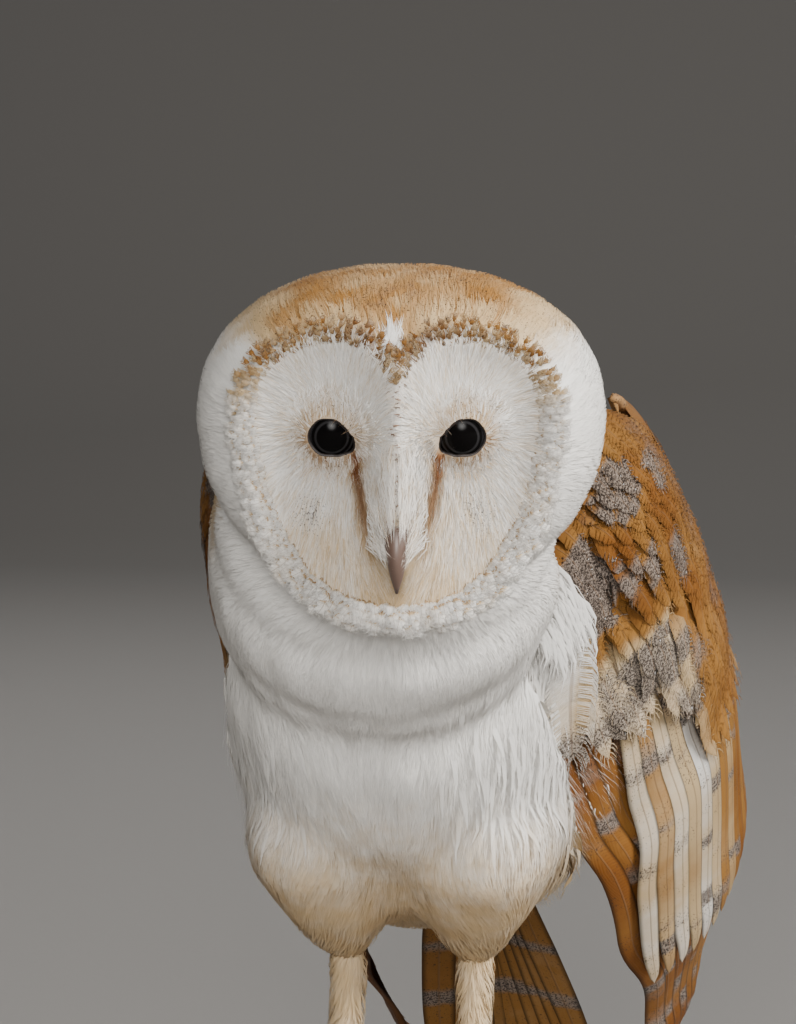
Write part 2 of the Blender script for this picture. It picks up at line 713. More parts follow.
def maths(tree, operation, a, b=0.0, c=0.0, clamp=False):
    return node(tree, "ShaderNodeMath", {0: a, 1: b, 2: c}, operation=operation, use_clamp=clamp)


def blend(tree, share, a, b, kind="MIX"):
    made = tree.nodes.new("ShaderNodeMix")
    made.data_type, made.blend_type = "RGBA", kind
    for key, value in ((0, share), (6, a), (7, b)):
        if isinstance(value, (bpy.types.NodeSocket, bpy.types.Node)):
            tree.links.new(socket(value), made.inputs[key])
        else:
            made.inputs[key].default_value = value if key == 0 else (*value, 1)
    return made.outputs[2]


def ramp(tree, value, stops):
    made = node(tree, "ShaderNodeValToRGB", {"Fac": value})
    made.color_ramp.interpolation = "EASE"
    while len(made.color_ramp.elements) < len(stops):
        made.color_ramp.elements.new(0.5)
    for element, (place, colour) in zip(made.color_ramp.elements, stops):
        element.position, element.color = place, (*colour, 1)
    return made


def step(tree, value, start, end):
    """0 before start and 1 after end."""
    made = node(tree, "ShaderNodeMapRange", {0: value, 1: start, 2: end})
    made.interpolation_type = "SMOOTHSTEP"
    return made.outputs[0]


def darkened(tree, colour, value):
    """A colour times a value from 0 to 1."""
    grey = node(tree, "ShaderNodeCombineColor", {0: value, 1: value, 2: value})
    return blend(tree, 1.0, colour, grey, "MULTIPLY")


def until(tree, value, start, end):
    """1 before start and 0 after end."""
    return maths(tree, "SUBTRACT", 1.0, step(tree, value, start, end))


def group_of(name, inputs, outputs):
    made = bpy.data.node_groups.new(name, "ShaderNodeTree")
    for title, kind in inputs:
        made.interface.new_socket(title, in_out="INPUT", socket_type=kind)
    for title, kind in outputs:
        made.interface.new_socket(title, in_out="OUTPUT", socket_type=kind)
    return made, made.nodes.new("NodeGroupInput"), made.nodes.new("NodeGroupOutput")


# %% [markdown]
# The first group turns the three amounts into colour. A ramp runs from white to orange,
# rust is laid over it, and grey comes last, as a veil of ash with fine dark pepper. A
# painted image would need a flat map of every feather. Amounts kept on the points don't.

# %% The plumage group
WHITE, BUFF = (0.92, 0.90, 0.86), (0.68, 0.50, 0.28)
GOLD, ORANGE, RUST = (0.38, 0.18, 0.042), (0.23, 0.08, 0.012), (0.16, 0.055, 0.018)
PEPPER, ASH, QUILL = (0.045, 0.032, 0.026), (0.36, 0.31, 0.27), (0.22, 0.13, 0.07)
plumage_group, given, result = group_of(
    "Plumage colour",
    [("Place", "NodeSocketVector"), ("Tint", "NodeSocketVector"), ("Lie", "NodeSocketVector")],
    [("Colour", "NodeSocketColor")],
)
g = plumage_group
tint = node(g, "ShaderNodeSeparateXYZ", {0: given.outputs["Tint"]})
lie = node(g, "ShaderNodeSeparateXYZ", {0: given.outputs["Lie"]})
place = given.outputs["Place"]
uneven = node(g, "ShaderNodeTexNoise", {"Vector": place, "Scale": 160.0, "Detail": 2.0})
amount = maths(g, "ADD", tint.outputs[0], maths(g, "MULTIPLY", maths(g, "SUBTRACT", uneven, 0.5), 0.16))
warm = ramp(g, amount, [(0.04, WHITE), (0.34, BUFF), (0.7, GOLD), (1.0, ORANGE)])
rusty = blend(g, tint.outputs[1], warm, RUST)
grain = node(g, "ShaderNodeTexNoise", {"Vector": place, "Scale": 1900.0, "Detail": 1.0})
grey = maths(g, "ADD", tint.outputs[2], maths(g, "MULTIPLY", maths(g, "SUBTRACT", uneven, 0.5), 0.5))
ashen = blend(g, maths(g, "MULTIPLY", step(g, grey, 0.35, 0.75), 0.85), rusty, ASH)
bar = maths(g, "SUBTRACT", 0.66, maths(g, "MULTIPLY", step(g, grey, 0.1, 0.9), 0.19))
dots = step(g, maths(g, "SUBTRACT", grain, bar), 0.0, 0.05)
dots = maths(g, "MULTIPLY", maths(g, "MULTIPLY", dots, step(g, tint.outputs[2], 0.03, 0.15)), 0.85)
greyed = blend(g, dots, ashen, PEPPER)
depth_shade = maths(g, "MULTIPLY_ADD", step(g, lie.outputs[0], 0.0, 0.8), 0.05, 0.95)
own_shade = maths(g, "MULTIPLY_ADD", lie.outputs[1], 0.12, 0.9)
value = maths(g, "MULTIPLY", depth_shade, own_shade)
shaded = darkened(g, greyed, value)
g.links.new(shaded, result.inputs["Colour"])
print(g.name, len(g.nodes), "nodes")

# %% [markdown]
# The second group draws what is too fine to model on each vane: the barbs as a slanting
# wave, the quill as a dark line, a shaded edge, and a white drop with a dark ring at the
# tip of some grey feathers. The wave is also its relief.

# %% The vane group
vane_group, given, result = group_of(
    "Vane",
    [("Colour", "NodeSocketColor"), ("Tint", "NodeSocketVector"), ("Lie", "NodeSocketVector")]
    + [(title, "NodeSocketFloat") for title in ("Barbs", "Slant", "Drops", "Edge")],
    [("Colour", "NodeSocketColor"), ("Height", "NodeSocketFloat")],
)
g = vane_group
tint = node(g, "ShaderNodeSeparateXYZ", {0: given.outputs["Tint"]})
lie = node(g, "ShaderNodeSeparateXYZ", {0: given.outputs["Lie"]})
aside = maths(g, "ABSOLUTE", lie.outputs[2])
run = maths(g, "MULTIPLY", lie.outputs[0], given.outputs["Barbs"])
run = maths(g, "SUBTRACT", run, maths(g, "MULTIPLY", aside, given.outputs["Slant"]))
wave = maths(g, "MULTIPLY_ADD", maths(g, "SINE", maths(g, "MULTIPLY", run, 2 * math.pi)), 0.5, 0.5)
shaft = until(g, aside, 0.03, 0.1)
height = maths(g, "ADD", wave, maths(g, "MULTIPLY", shaft, 2.0))
value = maths(g, "MULTIPLY_ADD", wave, 0.14, 0.86)
edge = maths(g, "MULTIPLY", step(g, aside, 0.62, 1.0), given.outputs["Edge"])
value = maths(g, "MULTIPLY", value, maths(g, "SUBTRACT", 1.0, edge))
ribbed = darkened(g, given.outputs["Colour"], value)
stalked = blend(g, maths(g, "MULTIPLY", shaft, 0.45), ribbed, QUILL)
ahead = maths(g, "MULTIPLY", maths(g, "SUBTRACT", lie.outputs[0], 0.9), 5.0)
squares = [maths(g, "MULTIPLY", way, way) for way in (ahead, aside)]
far = maths(g, "SQRT", maths(g, "ADD", *squares))
marked = maths(g, "MULTIPLY", step(g, tint.outputs[2], 0.35, 0.6), given.outputs["Drops"])
marked = maths(g, "MULTIPLY", marked, step(g, lie.outputs[1], 0.35, 0.4))
ringed = blend(g, maths(g, "MULTIPLY", marked, until(g, far, 0.2, 0.28)), stalked, PEPPER)
dropped = blend(g, maths(g, "MULTIPLY", marked, until(g, far, 0.1, 0.15)), ringed, WHITE)
g.links.new(dropped, result.inputs["Colour"])
g.links.new(socket(height), result.inputs["Height"])
print(g.name, len(g.nodes), "nodes")


# %% [markdown]
# Every kind of feather gets its own material from the same two groups. Down has no barbs
# to draw, coverts have few and broad ones, and flight feathers have many fine ones.

# %% Plumage materials
def plumage(name, roughness=0.8, barbs=0.0, slant=0.0, drops=0.0, edge=0.0):
    made = bpy.data.materials.new(name)
    made.use_nodes = True
    t = made.node_tree
    shader = t.nodes["Principled BSDF"]
    place = node(t, "ShaderNodeTexCoord").outputs["Object"]
    own_tint = node(t, "ShaderNodeAttribute", attribute_name="tint").outputs["Vector"]
    own_lie = node(t, "ShaderNodeAttribute", attribute_name="lie").outputs["Vector"]
    colour = node(t, "ShaderNodeGroup", node_tree=plumage_group)
    for key, value in (("Place", place), ("Tint", own_tint), ("Lie", own_lie)):
        t.links.new(value, colour.inputs[key])
    colour = colour.outputs["Colour"]
    if barbs:
        vane = node(t, "ShaderNodeGroup", node_tree=vane_group)
        for key, value in (("Colour", colour), ("Tint", own_tint), ("Lie", own_lie)):
            t.links.new(value, vane.inputs[key])
        for key, value in (("Barbs", barbs), ("Slant", slant), ("Drops", drops), ("Edge", edge)):
            vane.inputs[key].default_value = value
        colour = vane.outputs["Colour"]
        relief = {"Height": vane.outputs["Height"], "Distance": 0.12 * MM, "Strength": 0.6}
        t.links.new(node(t, "ShaderNodeBump", relief).outputs["Normal"], shader.inputs["Normal"])
    t.links.new(colour, shader.inputs["Base Color"])
    shader.inputs["Roughness"].default_value = roughness
    shader.inputs["Specular IOR Level"].default_value = 0.2
    return made


DOWN = plumage("soft plumage")
COVERT = plumage("coverts", 0.7, barbs=30.0, slant=7.0, drops=1.0, edge=0.2)
FLIGHT = plumage("flight feathers", 0.6, barbs=230.0, slant=8.0, edge=0.72)
PETAL = plumage("ruff petals", 0.8, barbs=9.0, slant=3.0)
THUMB = plumage("thumb feathers", 0.7, barbs=75.0, slant=9.0, edge=0.15)

# %% [markdown]
# ## Where the colours lie
# A barn owl is white below and gold above. Its face has a rusty streak from each eye to
# the bill and dusk round the eyes. The crown is gold with a grey veil, and the breast
# stays white. Each mark is a smooth step or bump along a direction, with some noise, so
# that its border frays as it does between real feathers.

# %% Marks of the body
BREAST_X = float(np.mean(middle_of("trunk")[0]))
STREAK_FROM, STREAK_TO = np.array([9.6, -3.5]), np.array([6.2, -21.0])


def gap_to(l, u, start, end):
    """How far (l, u) is from a line between two places."""
    way = end - start
    share = np.clip(((l - start[0]) * way[0] + (u - start[1]) * way[1]) / (way @ way), 0, 1)
    return np.hypot(l - start[0] - share * way[0], u - start[1] - share * way[1])


def disc_marks(l, u):
    """Buff, rust and dusk on the facial disc."""
    aside = np.abs(l)
    patchy = mottle(np.stack([l, u, l - u], -1) * MM, 5, 3)
    to_rim = np.minimum(disc_top(aside) - u, u - disc_foot(aside))
    to_rim = np.minimum(to_rim, DISC_HALF - aside)
    lower = smooth(-u, 2, 26)
    gold = 0.05 + 0.10 * lower + 0.12 * (1 - smooth(to_rim, 0.5, 4)) * (0.4 + lower)
    gold = gold + 0.10 * np.exp(-((aside / 7) ** 2)) * smooth(-u, 0, 20) + 0.05 * patchy * lower
    eye_gap = np.hypot(aside - EYE_APART, u - EYE_UP)
    dusk = (1 - smooth(eye_gap, 6.0, 11.5)) * (0.75 + 0.25 * smooth(aside, 12, 18))
    streak = np.exp(-((gap_to(aside, u, STREAK_FROM, STREAK_TO) / 1.5) ** 2))
    streak = streak * (1 - 0.6 * smooth(-u, 8, 22))
    brow = np.exp(-(((aside - 7) / 4) ** 2)) * (1 - smooth(disc_top(aside) - u, 0.5, 4))
    rust = 0.85 * streak + 0.5 * dusk * (0.6 + 0.4 * smooth(-u, -6, 2)) + 0.6 * brow
    smudge = np.exp(-((np.hypot(aside - 18.5, u + 14.5) / 3.4) ** 2))
    gold = gold + 0.22 * dusk + 0.2 * streak
    grey = 0.6 * smudge + 0.3 * dusk
    return gold, rust, grey


def on_disc(l, back, u):
    """1 on the facial disc and 0 off it."""
    aside = np.abs(l)
    inside = (aside < DISC_HALF + 0.3) & (u < disc_top(np.minimum(aside, DISC_HALF)) + 0.5)
    inside = inside & (u > disc_foot(np.minimum(aside, DISC_HALF)) - 0.5) & (back < -12)
    return inside.astype(float)


BARE_TOE = np.array([0.34, 0.2, 0.12])
DORSAL = np.array([0, 0.62, 0.78])


def markings(points, normals):
    """Gold, rust and grey at places on the body."""
    l, back, up = in_head(points).T
    far = np.linalg.norm(in_head(points), axis=1)
    on_head = 1 - smooth(far, 52, 66)
    crown = smooth(up - 0.1 * np.abs(l) + 3 * mottle(points, 9), 7, 33)
    nape = smooth(back + 4 * mottle(points, 12, 3), 4, 30)
    head_gold = np.maximum((0.6 + 0.1 * mottle(points, 7, 4)) * crown, 0.8 * nape)
    dorsal = normals @ DORSAL
    back_gold = 0.85 * smooth(dorsal + 0.15 * mottle(points, 10, 5), 0.1, 0.5)
    back_gold = back_gold * smooth(points[:, 1], -0.075, -0.045)
    beside = np.abs(points[:, 0] - BREAST_X)
    shoulders = smooth(points[:, 2], 0.155, 0.175)
    off_middle = smooth(beside, 0.024, 0.032) * (1 - shoulders)
    back_gold = back_gold * smooth(normals[:, 1], 0.1, 0.35) * (1 - off_middle)
    back_gold = back_gold * smooth(points[:, 2], 0.05, 0.075)
    belly = 0.26 * smooth(-points[:, 2], -0.135, -0.085)
    gold = head_gold * on_head + (back_gold + belly) * (1 - on_head) + 0.03
    grey = smooth(mottle(points, 6, 2) + mottle(points, 17, 6), 0.1, 0.9) * smooth(gold, 0.45, 0.7)
    grey = grey * (0.1 + 0.9 * smooth(back, 10, 40)) + 0.33 * crown * on_head
    face = on_disc(l, back, up)
    disc_gold, disc_rust, disc_grey = disc_marks(l, up)
    gold, grey = gold + (disc_gold - gold) * face, grey + (disc_grey - grey) * face
    bare = 1 - smooth(points[:, 2], 0.012, 0.017)
    tints = np.stack([gold, disc_rust * face, grey], 1)
    return np.clip(tints + (BARE_TOE - tints) * bare[:, None], 0, 1)


# %% [markdown]
# On the folded wing grey patches lie on gold. Each patch is an oval in the wing's own
# millimetres, given by its middle, its two half lengths and its strength. The front edge
# is white, and the comb of feathers behind the wrist is pale with grey.

# %% Marks of the wing
GREY_PATCHES = ((10, 15, 9, 8, 1.0), (29, -2, 17, 13, 1.0), (36, 9, 9, 7, 0.7), (67, 5, 13, 8, 1.0),
                (94, 9, 9, 5, 0.7), (20, 28, 9, 4, 0.7), (46, 22, 13, 4, 0.7), (78, 16, 10, 4, 0.6))


def wing_marks(a, b, places):
    """Gold, rust and grey over the coverts."""
    a, b = np.broadcast_arrays(a, b)
    blotch = mottle(places, 9, 2)
    gold = (0.80 + 0.12 * blotch - 0.10 * smooth(b, 22, 40)) * (0.12 + 0.88 * smooth(b, -19, -13))
    grey = np.zeros_like(gold)
    for a0, b0, long, wide, strength in GREY_PATCHES:
        far = np.hypot((a - a0) / long, (b - b0) / wide) + 0.18 * blotch
        grey = np.maximum(grey, strength * (1 - smooth(far, 0.75, 1.1)))
    behind = smooth(b, 24, 34)
    cloudy = smooth(mottle(places, 7, 6) + mottle(places, 15, 1), 0.35, 1.0)
    grey = np.maximum(np.maximum(grey, behind * 0.42), behind * 0.8 * cloudy)
    comb = smooth(a, 48, 60) * (1 - smooth(b, 8, 16))
    gold = gold + (0.26 - gold) * comb
    grey = np.maximum(grey, (0.2 + 0.5 * smooth(mottle(places, 6, 4), -0.1, 0.7)) * comb)
    rust = behind * (0.3 + 0.3 * smooth(mottle(places, 11, 9), 0.0, 0.8))
    return np.stack([gold, rust, grey], -1)


def in_wing(word, points):
    """Where points lie on a wing: a from wrist to tip and b over the back."""
    side, wrist, axes = wing_axes(word)
    owl = (points / MM - OWL_SHIFT) * np.array([side, 1, 1])
    return ((owl - wrist) @ axes.T)[..., :2]


# %% [markdown]
# The skin gets the same amounts as the feathers over it, so that it doesn't show as
# another colour where the coat is thin.

# %% Colours of the skin
PLAIN_LIE = (0.5, 0.5, 0.0)
skin_tint = markings(skin_spots, outward)
for word, sign in SIDES:
    on_arm = belongs("wing", "scapulars") & (skin_spots[:, 0] * sign > 0)
    along, over = in_wing(word, skin_spots[on_arm]).T
    skin_tint[on_arm] = wing_marks(along, over, skin_spots[on_arm])
keep_on_points(skin.data, tint=skin_tint, lie=np.tile(PLAIN_LIE, (len(skin_spots), 1)))
skin.data.polygons.foreach_set("use_smooth", np.ones(len(skin.data.polygons), bool))
skin.data.materials.clear()
skin.data.materials.append(DOWN)
print("skin's gold, rust and grey on average", skin_tint.mean(0).round(2))

# %% [markdown]
# ## The lie of the plumage
# All feathers point away from the face, over the crown and down the breast, and then
# along the body to the tail. On the facial disc the bristles spread out from each eye.

# %% Flows
FACE_POLE = from_head((0, -75, -14))


def body_flow(places, normals):
    away = unit(places - FACE_POLE)
    near_head = 1 - smooth(np.linalg.norm(places - HEAD_MIDDLE, axis=1), 0.048, 0.095)
    dorsal = smooth(normals[:, 1], -0.1, 0.7)[:, None]
    trail = np.array([0, 0.25, -1.0]) * (1 - dorsal) + np.array([0, 0.72, -0.7]) * dorsal
    fan = (places[:, 0] - BREAST_X) / 0.05 * smooth(-places[:, 2], -0.15, -0.08) * 0.5
    trail = trail + np.array([1.0, 0, 0]) * fan[:, None]
    way = away * near_head[:, None] + trail * (1.05 - near_head[:, None])
    way = along_surface(way, normals)
    return turned(way, normals, 0.2 * mottle(places, 9, 1) + 0.08 * mottle(places, 4, 7))


def face_flow(places, normals):
    l, _, up = in_head(places).T
    side = np.where(l < 0, -1, 1)
    eye = np.stack([side * EYE_APART, np.full_like(l, -28), np.full_like(l, EYE_UP)], 1)
    away = (in_head(places) - eye) @ HEAD_AXES
    hang = np.stack([-0.35 * side, np.full_like(l, -0.3), np.full_like(l, -1.0)], 1) @ HEAD_AXES
    on_ridge = (np.exp(-((l / 7.5) ** 2)) * smooth(-up, -6, 8))[:, None]
    way = along_surface(unit(away) * (1 - on_ridge) + hang * on_ridge, normals)
    return turned(way, normals, 0.12 * mottle(places, 5, 2))


# %% [markdown]
# ## Soft plumage
# A soft coat has two layers. Broad flat leaves lie low and close it. Fine strands lie just
# over them and give it its silk, so that no deep gap opens between them.

# %% Coats
LIFT = np.array([-0.25, 0.6, 0.95, 1.0])


def coat(parts, count, flow, length, width, depth, wanted=None, clump=(14, 0.35), stray=0.1,
         steps=3, crown=0.3, soft=0.3, lift=LIFT, marks=markings):
    """Strands over some parts of the skin. length and depth are functions of the roots."""
    roots = scattered(parts, count, wanted)
    long = length(roots) * chance.uniform(0.75, 1.15, count) * MM
    path, up, spots = walk(roots, flow, long, steps, stray)
    raised = np.interp(np.linspace(0, 1, steps + 1), np.linspace(0, 1, 4), lift)
    high = depth(roots) * chance.uniform(0.75, 1.05, count) * MM
    path = clumped(path, *clump) + up * (high[:, None] * raised)[:, :, None]
    taper = (0.8, 1.0, 0.62) if steps == 3 else LOW_BLADE
    wide = width * chance.uniform(0.8, 1.2, count) * MM
    return strands(path, up, wide, spots, marks(path[:, 0], up[:, 0]), taper, crown, soft)


NO_CLUMP = (1, 0)


def even(value):
    return lambda points: np.full(len(points), float(value))


def leaves(part, count, long, wide, high, wanted=None, crown=0.05):
    """Broad flat leaves that lie low and close the coat."""
    return coat([part], count, body_flow, even(long), wide, even(high), wanted, NO_CLUMP, stray=0.05,
                steps=2, crown=crown, soft=0.02)


def silk(part, count, long, wide, high, wanted=None, clump=20, stray=0.09, crown=0.3, soft=0.32):
    """Fine strands that lie just over the leaves."""
    return coat([part], count, body_flow, even(long), wide, even(high), wanted, (clump, 0.2), stray,
                steps=2, crown=crown, soft=soft)


def half_of_body(sign):
    return lambda points, normals: ((points[:, 0] > BREAST_X) == (sign > 0)).astype(float)


def half_of_head(sign):
    return lambda points, normals: (in_head(points)[:, 0] * sign > 0).astype(float)


def in_view(half):
    """More strands on the front and the flanks of a half, and few under the wings."""
    return lambda p, n: half(p, n) * (0.08 + 0.92 * smooth(-n[:, 1], -0.35, 0.1))


for side, sign in SIDES:
    half = half_of_body(sign)
    low_coat = leaves("trunk", 4200, long=14, wide=2.2, high=0.6, wanted=half)
    fine_coat = silk("trunk", 10200, long=12, wide=0.26, high=1.2, wanted=in_view(half), clump=24)
    grown(f"breast_{side}", [low_coat, fine_coat], DOWN)
low_coat = leaves("neck", 3600, long=11, wide=2.0, high=0.6)
fine_coat = silk("neck", 9600, long=9, wide=0.24, high=1.15)
grown("neck_coat", [low_coat, fine_coat], DOWN)

# %% [markdown]
# The head's feathers are the shortest and finest of the body, so that the round of the
# crown stays crisp. Each half is a piece of its own, which keeps every piece small.

# %% Head
for side, sign in SIDES:
    half = half_of_head(sign)
    low_coat = leaves("head", 2600, long=8, wide=1.6, high=0.45, wanted=half)
    fine_coat = silk("head", 7800, long=6.5, wide=0.22, high=0.95, wanted=half, clump=14, soft=0.3)
    grown(f"head_coat_{side}", [low_coat, fine_coat], DOWN)

# %% [markdown]
# ## The facial disc
# The disc gathers sound. Its feathers are stiff hairs that spread from each eye to the
# rim, short at the lid and longer further out. A few long ones stand above the rest. Dark
# specks mark the line where the two halves meet, over the bill.

# %% Facial disc
LID_SHAPE = [(-36, 6.0), (0, 4.9), (12, 4.0), (45, 3.7), (90, 4.2), (135, 5.0), (180, 5.4), (225, 5.0),
             (270, 4.3), (300, 4.9), (324, 6.0)]


def lid_reach(l, u):
    """The eye's opening towards (l, u): 0 degrees is the bill's side and 90 is above."""
    turn = np.degrees(np.arctan2(u - EYE_UP, EYE_APART - np.abs(l)))
    turn = np.where(turn < -36, turn + 360, turn)
    return profile(LID_SHAPE, turn)


def from_eye(l, u):
    """How far (l, u) is from the middle of the nearer eye."""
    return np.hypot(np.abs(l) - EYE_APART, u - EYE_UP)


def eye_gap(l, u):
    return from_eye(l, u) - lid_reach(l, u)


def face_length(roots):
    l, _, u = in_head(roots).T
    return 2.2 + 5.3 * smooth(eye_gap(l, u), 1, 15)


def face_marks(points, normals):
    marks = markings(points, normals)
    l, _, u = in_head(points).T
    marks[:, 0] += chance.random(len(l)) ** 2 * 0.16
    marks[:, 1] += chance.random(len(l)) ** 4 * 0.12
    on_line = (np.abs(l + 0.3 * mottle(points, 4)) < 0.55) & (u > -18) & (u < 26)
    marks[on_line & (chance.random(len(l)) < 0.3)] = (0.5, 0.85, 0.2)
    return marks


def midline(points, normals):
    l, _, u = in_head(points).T
    return np.exp(-((l / 0.9) ** 2)) * (u > -19) * (u < 16)


def all_of(*tint):
    """The same gold, rust and grey everywhere."""
    return lambda points, normals: np.tile(tint, (len(points), 1))


def half_of_disc(sign):
    """One half of the disc, with no hair on the lid and more of it close to the lid."""
    def wanted(points, normals):
        l, _, u = in_head(points).T
        off_lid = (l * sign > 0) * (from_eye(l, u) > 8.3)
        return off_lid * (1 + 1.2 * np.exp(-(eye_gap(l, u) / 5) ** 2))
    return wanted


def longer_hair(roots):
    return face_length(roots) * 1.4


for side, sign in SIDES:
    half = half_of_disc(sign)
    hair = coat(["disc"], 10000, face_flow, face_length, width=0.2, depth=even(1.3), wanted=half,
                clump=(8, 0.4), stray=0.13, steps=2, crown=0.45, soft=0.6, marks=face_marks)
    long_hair = coat(["disc"], 900, face_flow, longer_hair, width=0.17, depth=even(2.0), wanted=half,
                     clump=(3, 0.3), stray=0.25, soft=0.5, marks=face_marks)
    grown(f"disc_hair_{side}", [hair, long_hair], DOWN)
specks = coat(["disc"], 75, face_flow, even(1.6), width=0.5, depth=even(1.9), wanted=midline,
              clump=NO_CLUMP, stray=0.3, steps=2, marks=all_of(0.3, 0.85, 0.55))
grown("midline_specks", [specks], DOWN)

# %% [markdown]
# ## Feathered legs
# A barn owl's legs are feathered down to the toes: long soft feathers on the thigh, and a
# short close coat on the foot bone. Where the two meet, longer feathers hang over the
# joint, so that no edge shows between them.


# %% Legs
def at_knee(points, normals):
    return smooth(points[:, 2], 0.052, 0.06) * (1 - smooth(points[:, 2], 0.074, 0.084))


low_coat = leaves("thigh", 1000, long=13, wide=1.8, high=0.6, crown=0.06)
fine_coat = silk("thigh", 2800, long=12, wide=0.34, high=1.0, stray=0.08, crown=0.15, soft=0.05)
grown("thigh_coat", [low_coat, fine_coat], DOWN)
knee = coat(["thigh", "tarsus"], 1300, body_flow, even(10), width=0.55, depth=even(1.7), wanted=at_knee,
            clump=(12, 0.2), steps=2, crown=0.2, soft=0.15)
grown("knee_feathers", [knee], DOWN)
shank = coat(["tarsus"], 2000, body_flow, even(4.5), width=0.4, depth=even(1.2), clump=(10, 0.2), steps=2)
grown("tarsus_coat", [shank], DOWN)

# %% [markdown]
# ## The ruff
# The facial disc is framed by a roll of small stiff feathers, curled outwards like petals.
# They grow in rows round the heart of the disc, and each row half covers the next.

# %% Ruff
RIM_PARTS = np.array([0, 0.13, 0.27, 0.44, 0.62, 0.8, 0.92, 0.985]) * DISC_HALF
rim_l = np.concatenate([RIM_PARTS, [DISC_HALF], RIM_PARTS[::-1]])
rim_u = np.concatenate([disc_top(RIM_PARTS), [DISC_WAIST], disc_foot(RIM_PARTS[::-1])])
rim_run = np.concatenate([[0], np.cumsum(np.hypot(np.diff(rim_l), np.diff(rim_u)))])
PETAL_SHAPE = np.array([0.4, 0.85, 1.0, 0.95, 0.75, 0.1])
PETAL_CURL = math.radians(105)


def on_rim(run):
    """The place on the disc's rim after a run from its top, as l and u in two columns."""
    return np.stack([np.interp(run, rim_run, rim_l), np.interp(run, rim_run, rim_u)], 1)


def petals(side, out, spacing, length, half_width, lean):
    """A row of petals at a distance out from the disc's rim. lean turns it outwards."""
    count = int(rim_run[-1] / spacing)
    run = (np.arange(count) + chance.uniform(-0.35, 0.35, count) + 0.5) / count * rim_run[-1]
    l, u = on_rim(run).T
    way = unit(on_rim(run + 1.5) - on_rim(run - 1.5))
    outer = np.stack([-way[:, 1], way[:, 0]], 1)
    own_out = out + chance.uniform(-0.35, 0.35, count)
    l, u = np.maximum(l + outer[:, 0] * own_out, 0.3), u + outer[:, 1] * own_out
    roll = 2.2 * np.sqrt(np.clip(1 - ((out - 2.5) / 3.2) ** 2, 0, 1))
    forward = face_front(np.minimum(l, DISC_HALF), u) + roll - 2.2
    root = np.stack([side * l, -forward, u], 1)
    crown = smooth(u, 6, 20)[:, None]
    turn = chance.normal(0, 0.2, count)[:, None] * (1 + crown)
    aside = np.stack([side * way[:, 0], np.zeros(count), way[:, 1]], 1)
    ahead = np.stack([side * outer[:, 0], np.zeros(count), outer[:, 1]], 1)
    ahead = ahead * np.cos(turn) + aside * np.sin(turn)
    front = np.array([0, -1.0, 0])
    low = smooth(-u, 2, 24)
    long = length * chance.uniform(0.75, 1.2, count) * (1 - 0.42 * crown[:, 0] + 0.3 * low)
    rows = len(PETAL_SHAPE) - 1
    reach = np.linspace(0, 1, rows + 1)
    pitch = np.radians(78 - lean + chance.normal(0, 8, count))[:, None] - reach**1.3 * PETAL_CURL
    steps = np.cos(pitch)[..., None] * ahead[:, None] + np.sin(pitch)[..., None] * front
    path = root[:, None] + np.cumsum(steps, 1) * (long / rows)[:, None, None]
    up = -np.sin(pitch)[..., None] * ahead[:, None] + np.cos(pitch)[..., None] * front
    path, up = from_head(path), up @ HEAD_AXES
    lower = smooth(-u, -24, 20)[:, None]
    own = chance.random((3, count))[..., None]
    tints = np.zeros((count, rows + 1, 3))
    root_shade = 1 - smooth(reach, 0.05, 0.45)
    tints[:, :, 0] = 0.09 + crown * (0.2 + 0.36 * own[0] + 0.025 * out) + root_shade * (0.16 + 0.30 * lower)
    near_notch = np.exp(-(((l - 9) / 5.5) ** 2))[:, None] * smooth(u, 10, 16)[:, None]
    rusty = np.clip(0.6 * near_notch + 0.42 * crown * own[1] ** 4, 0, 0.9)
    tints[:, :, 1] = rusty * (1 - 0.7 * smooth(reach, 0.5, 1.0))
    tints[:, :, 1] += (0.14 + 0.34 * lower) * root_shade * (1.0 if out < 3 else 0.3)
    tints[:, :, 2] = 0.5 * crown * (own[2] > 0.3) * smooth(reach, 0.2, 0.7)
    spots = on_skin(path[:, 0])[2]
    half_widths = half_width * (1 - 0.32 * crown[:, 0] + 0.75 * low) * chance.uniform(0.75, 1.25, count) * MM
    blades = vanes(path, up, half_widths, PETAL_SHAPE, spots, tints, columns=3, thick=0.2, camber=0.35,
                   teeth=0.3)
    fringe = barbs(path, up, half_widths, PETAL_SHAPE, spots, tints, per_side=4, long=1.1,
                   span=(0.35, 0.9), width=0.2, spill=1.3, rise=0.25)
    return [blades, fringe]


# %% [markdown]
# Each row of the ruff is given by its distance from the rim, the gap between petals, their
# length and half width in millimetres, and how far they lean outwards in degrees. A small
# white tuft fills the notch at the top, where the two halves of the heart meet.

# %% Ruff rows
RUFF_ROWS = ((0.3, 1.0, 2.4, 0.55, 4), (1.3, 1.1, 3.0, 0.7, 16), (2.4, 1.2, 3.2, 0.8, 28),
             (3.6, 1.3, 3.3, 0.85, 42), (4.8, 1.4, 3.4, 0.9, 56))
for side, sign in SIDES:
    rows_made = [pile for row in RUFF_ROWS for pile in petals(sign, *row)]
    grown(f"ruff_petals_{side}", rows_made, PETAL)


def at_notch(points, normals):
    l, back, u = in_head(points).T
    return np.exp(-(((l + 1.3) / 1.5) ** 2) - ((u - 22.5) / 1.6) ** 2) * (back < 0)


tuft = coat(["head", "ruff", "disc"], 240, body_flow, even(6.0), width=0.2, depth=even(2.3),
            wanted=at_notch, clump=(60, 0.1), stray=0.22, marks=all_of(0.05, 0.0, 0.0))
grown("notch_tuft", [tuft], DOWN)

# %% [markdown]
# ## Eyes and lids
# Each eye is a polished dark ball. Its lid is a closed ring round the opening, dark and
# bare at its rim and feathered further out, where it meets the face. The ball carries its
# distance from the line of sight, and two faint rings of iris are drawn from it.

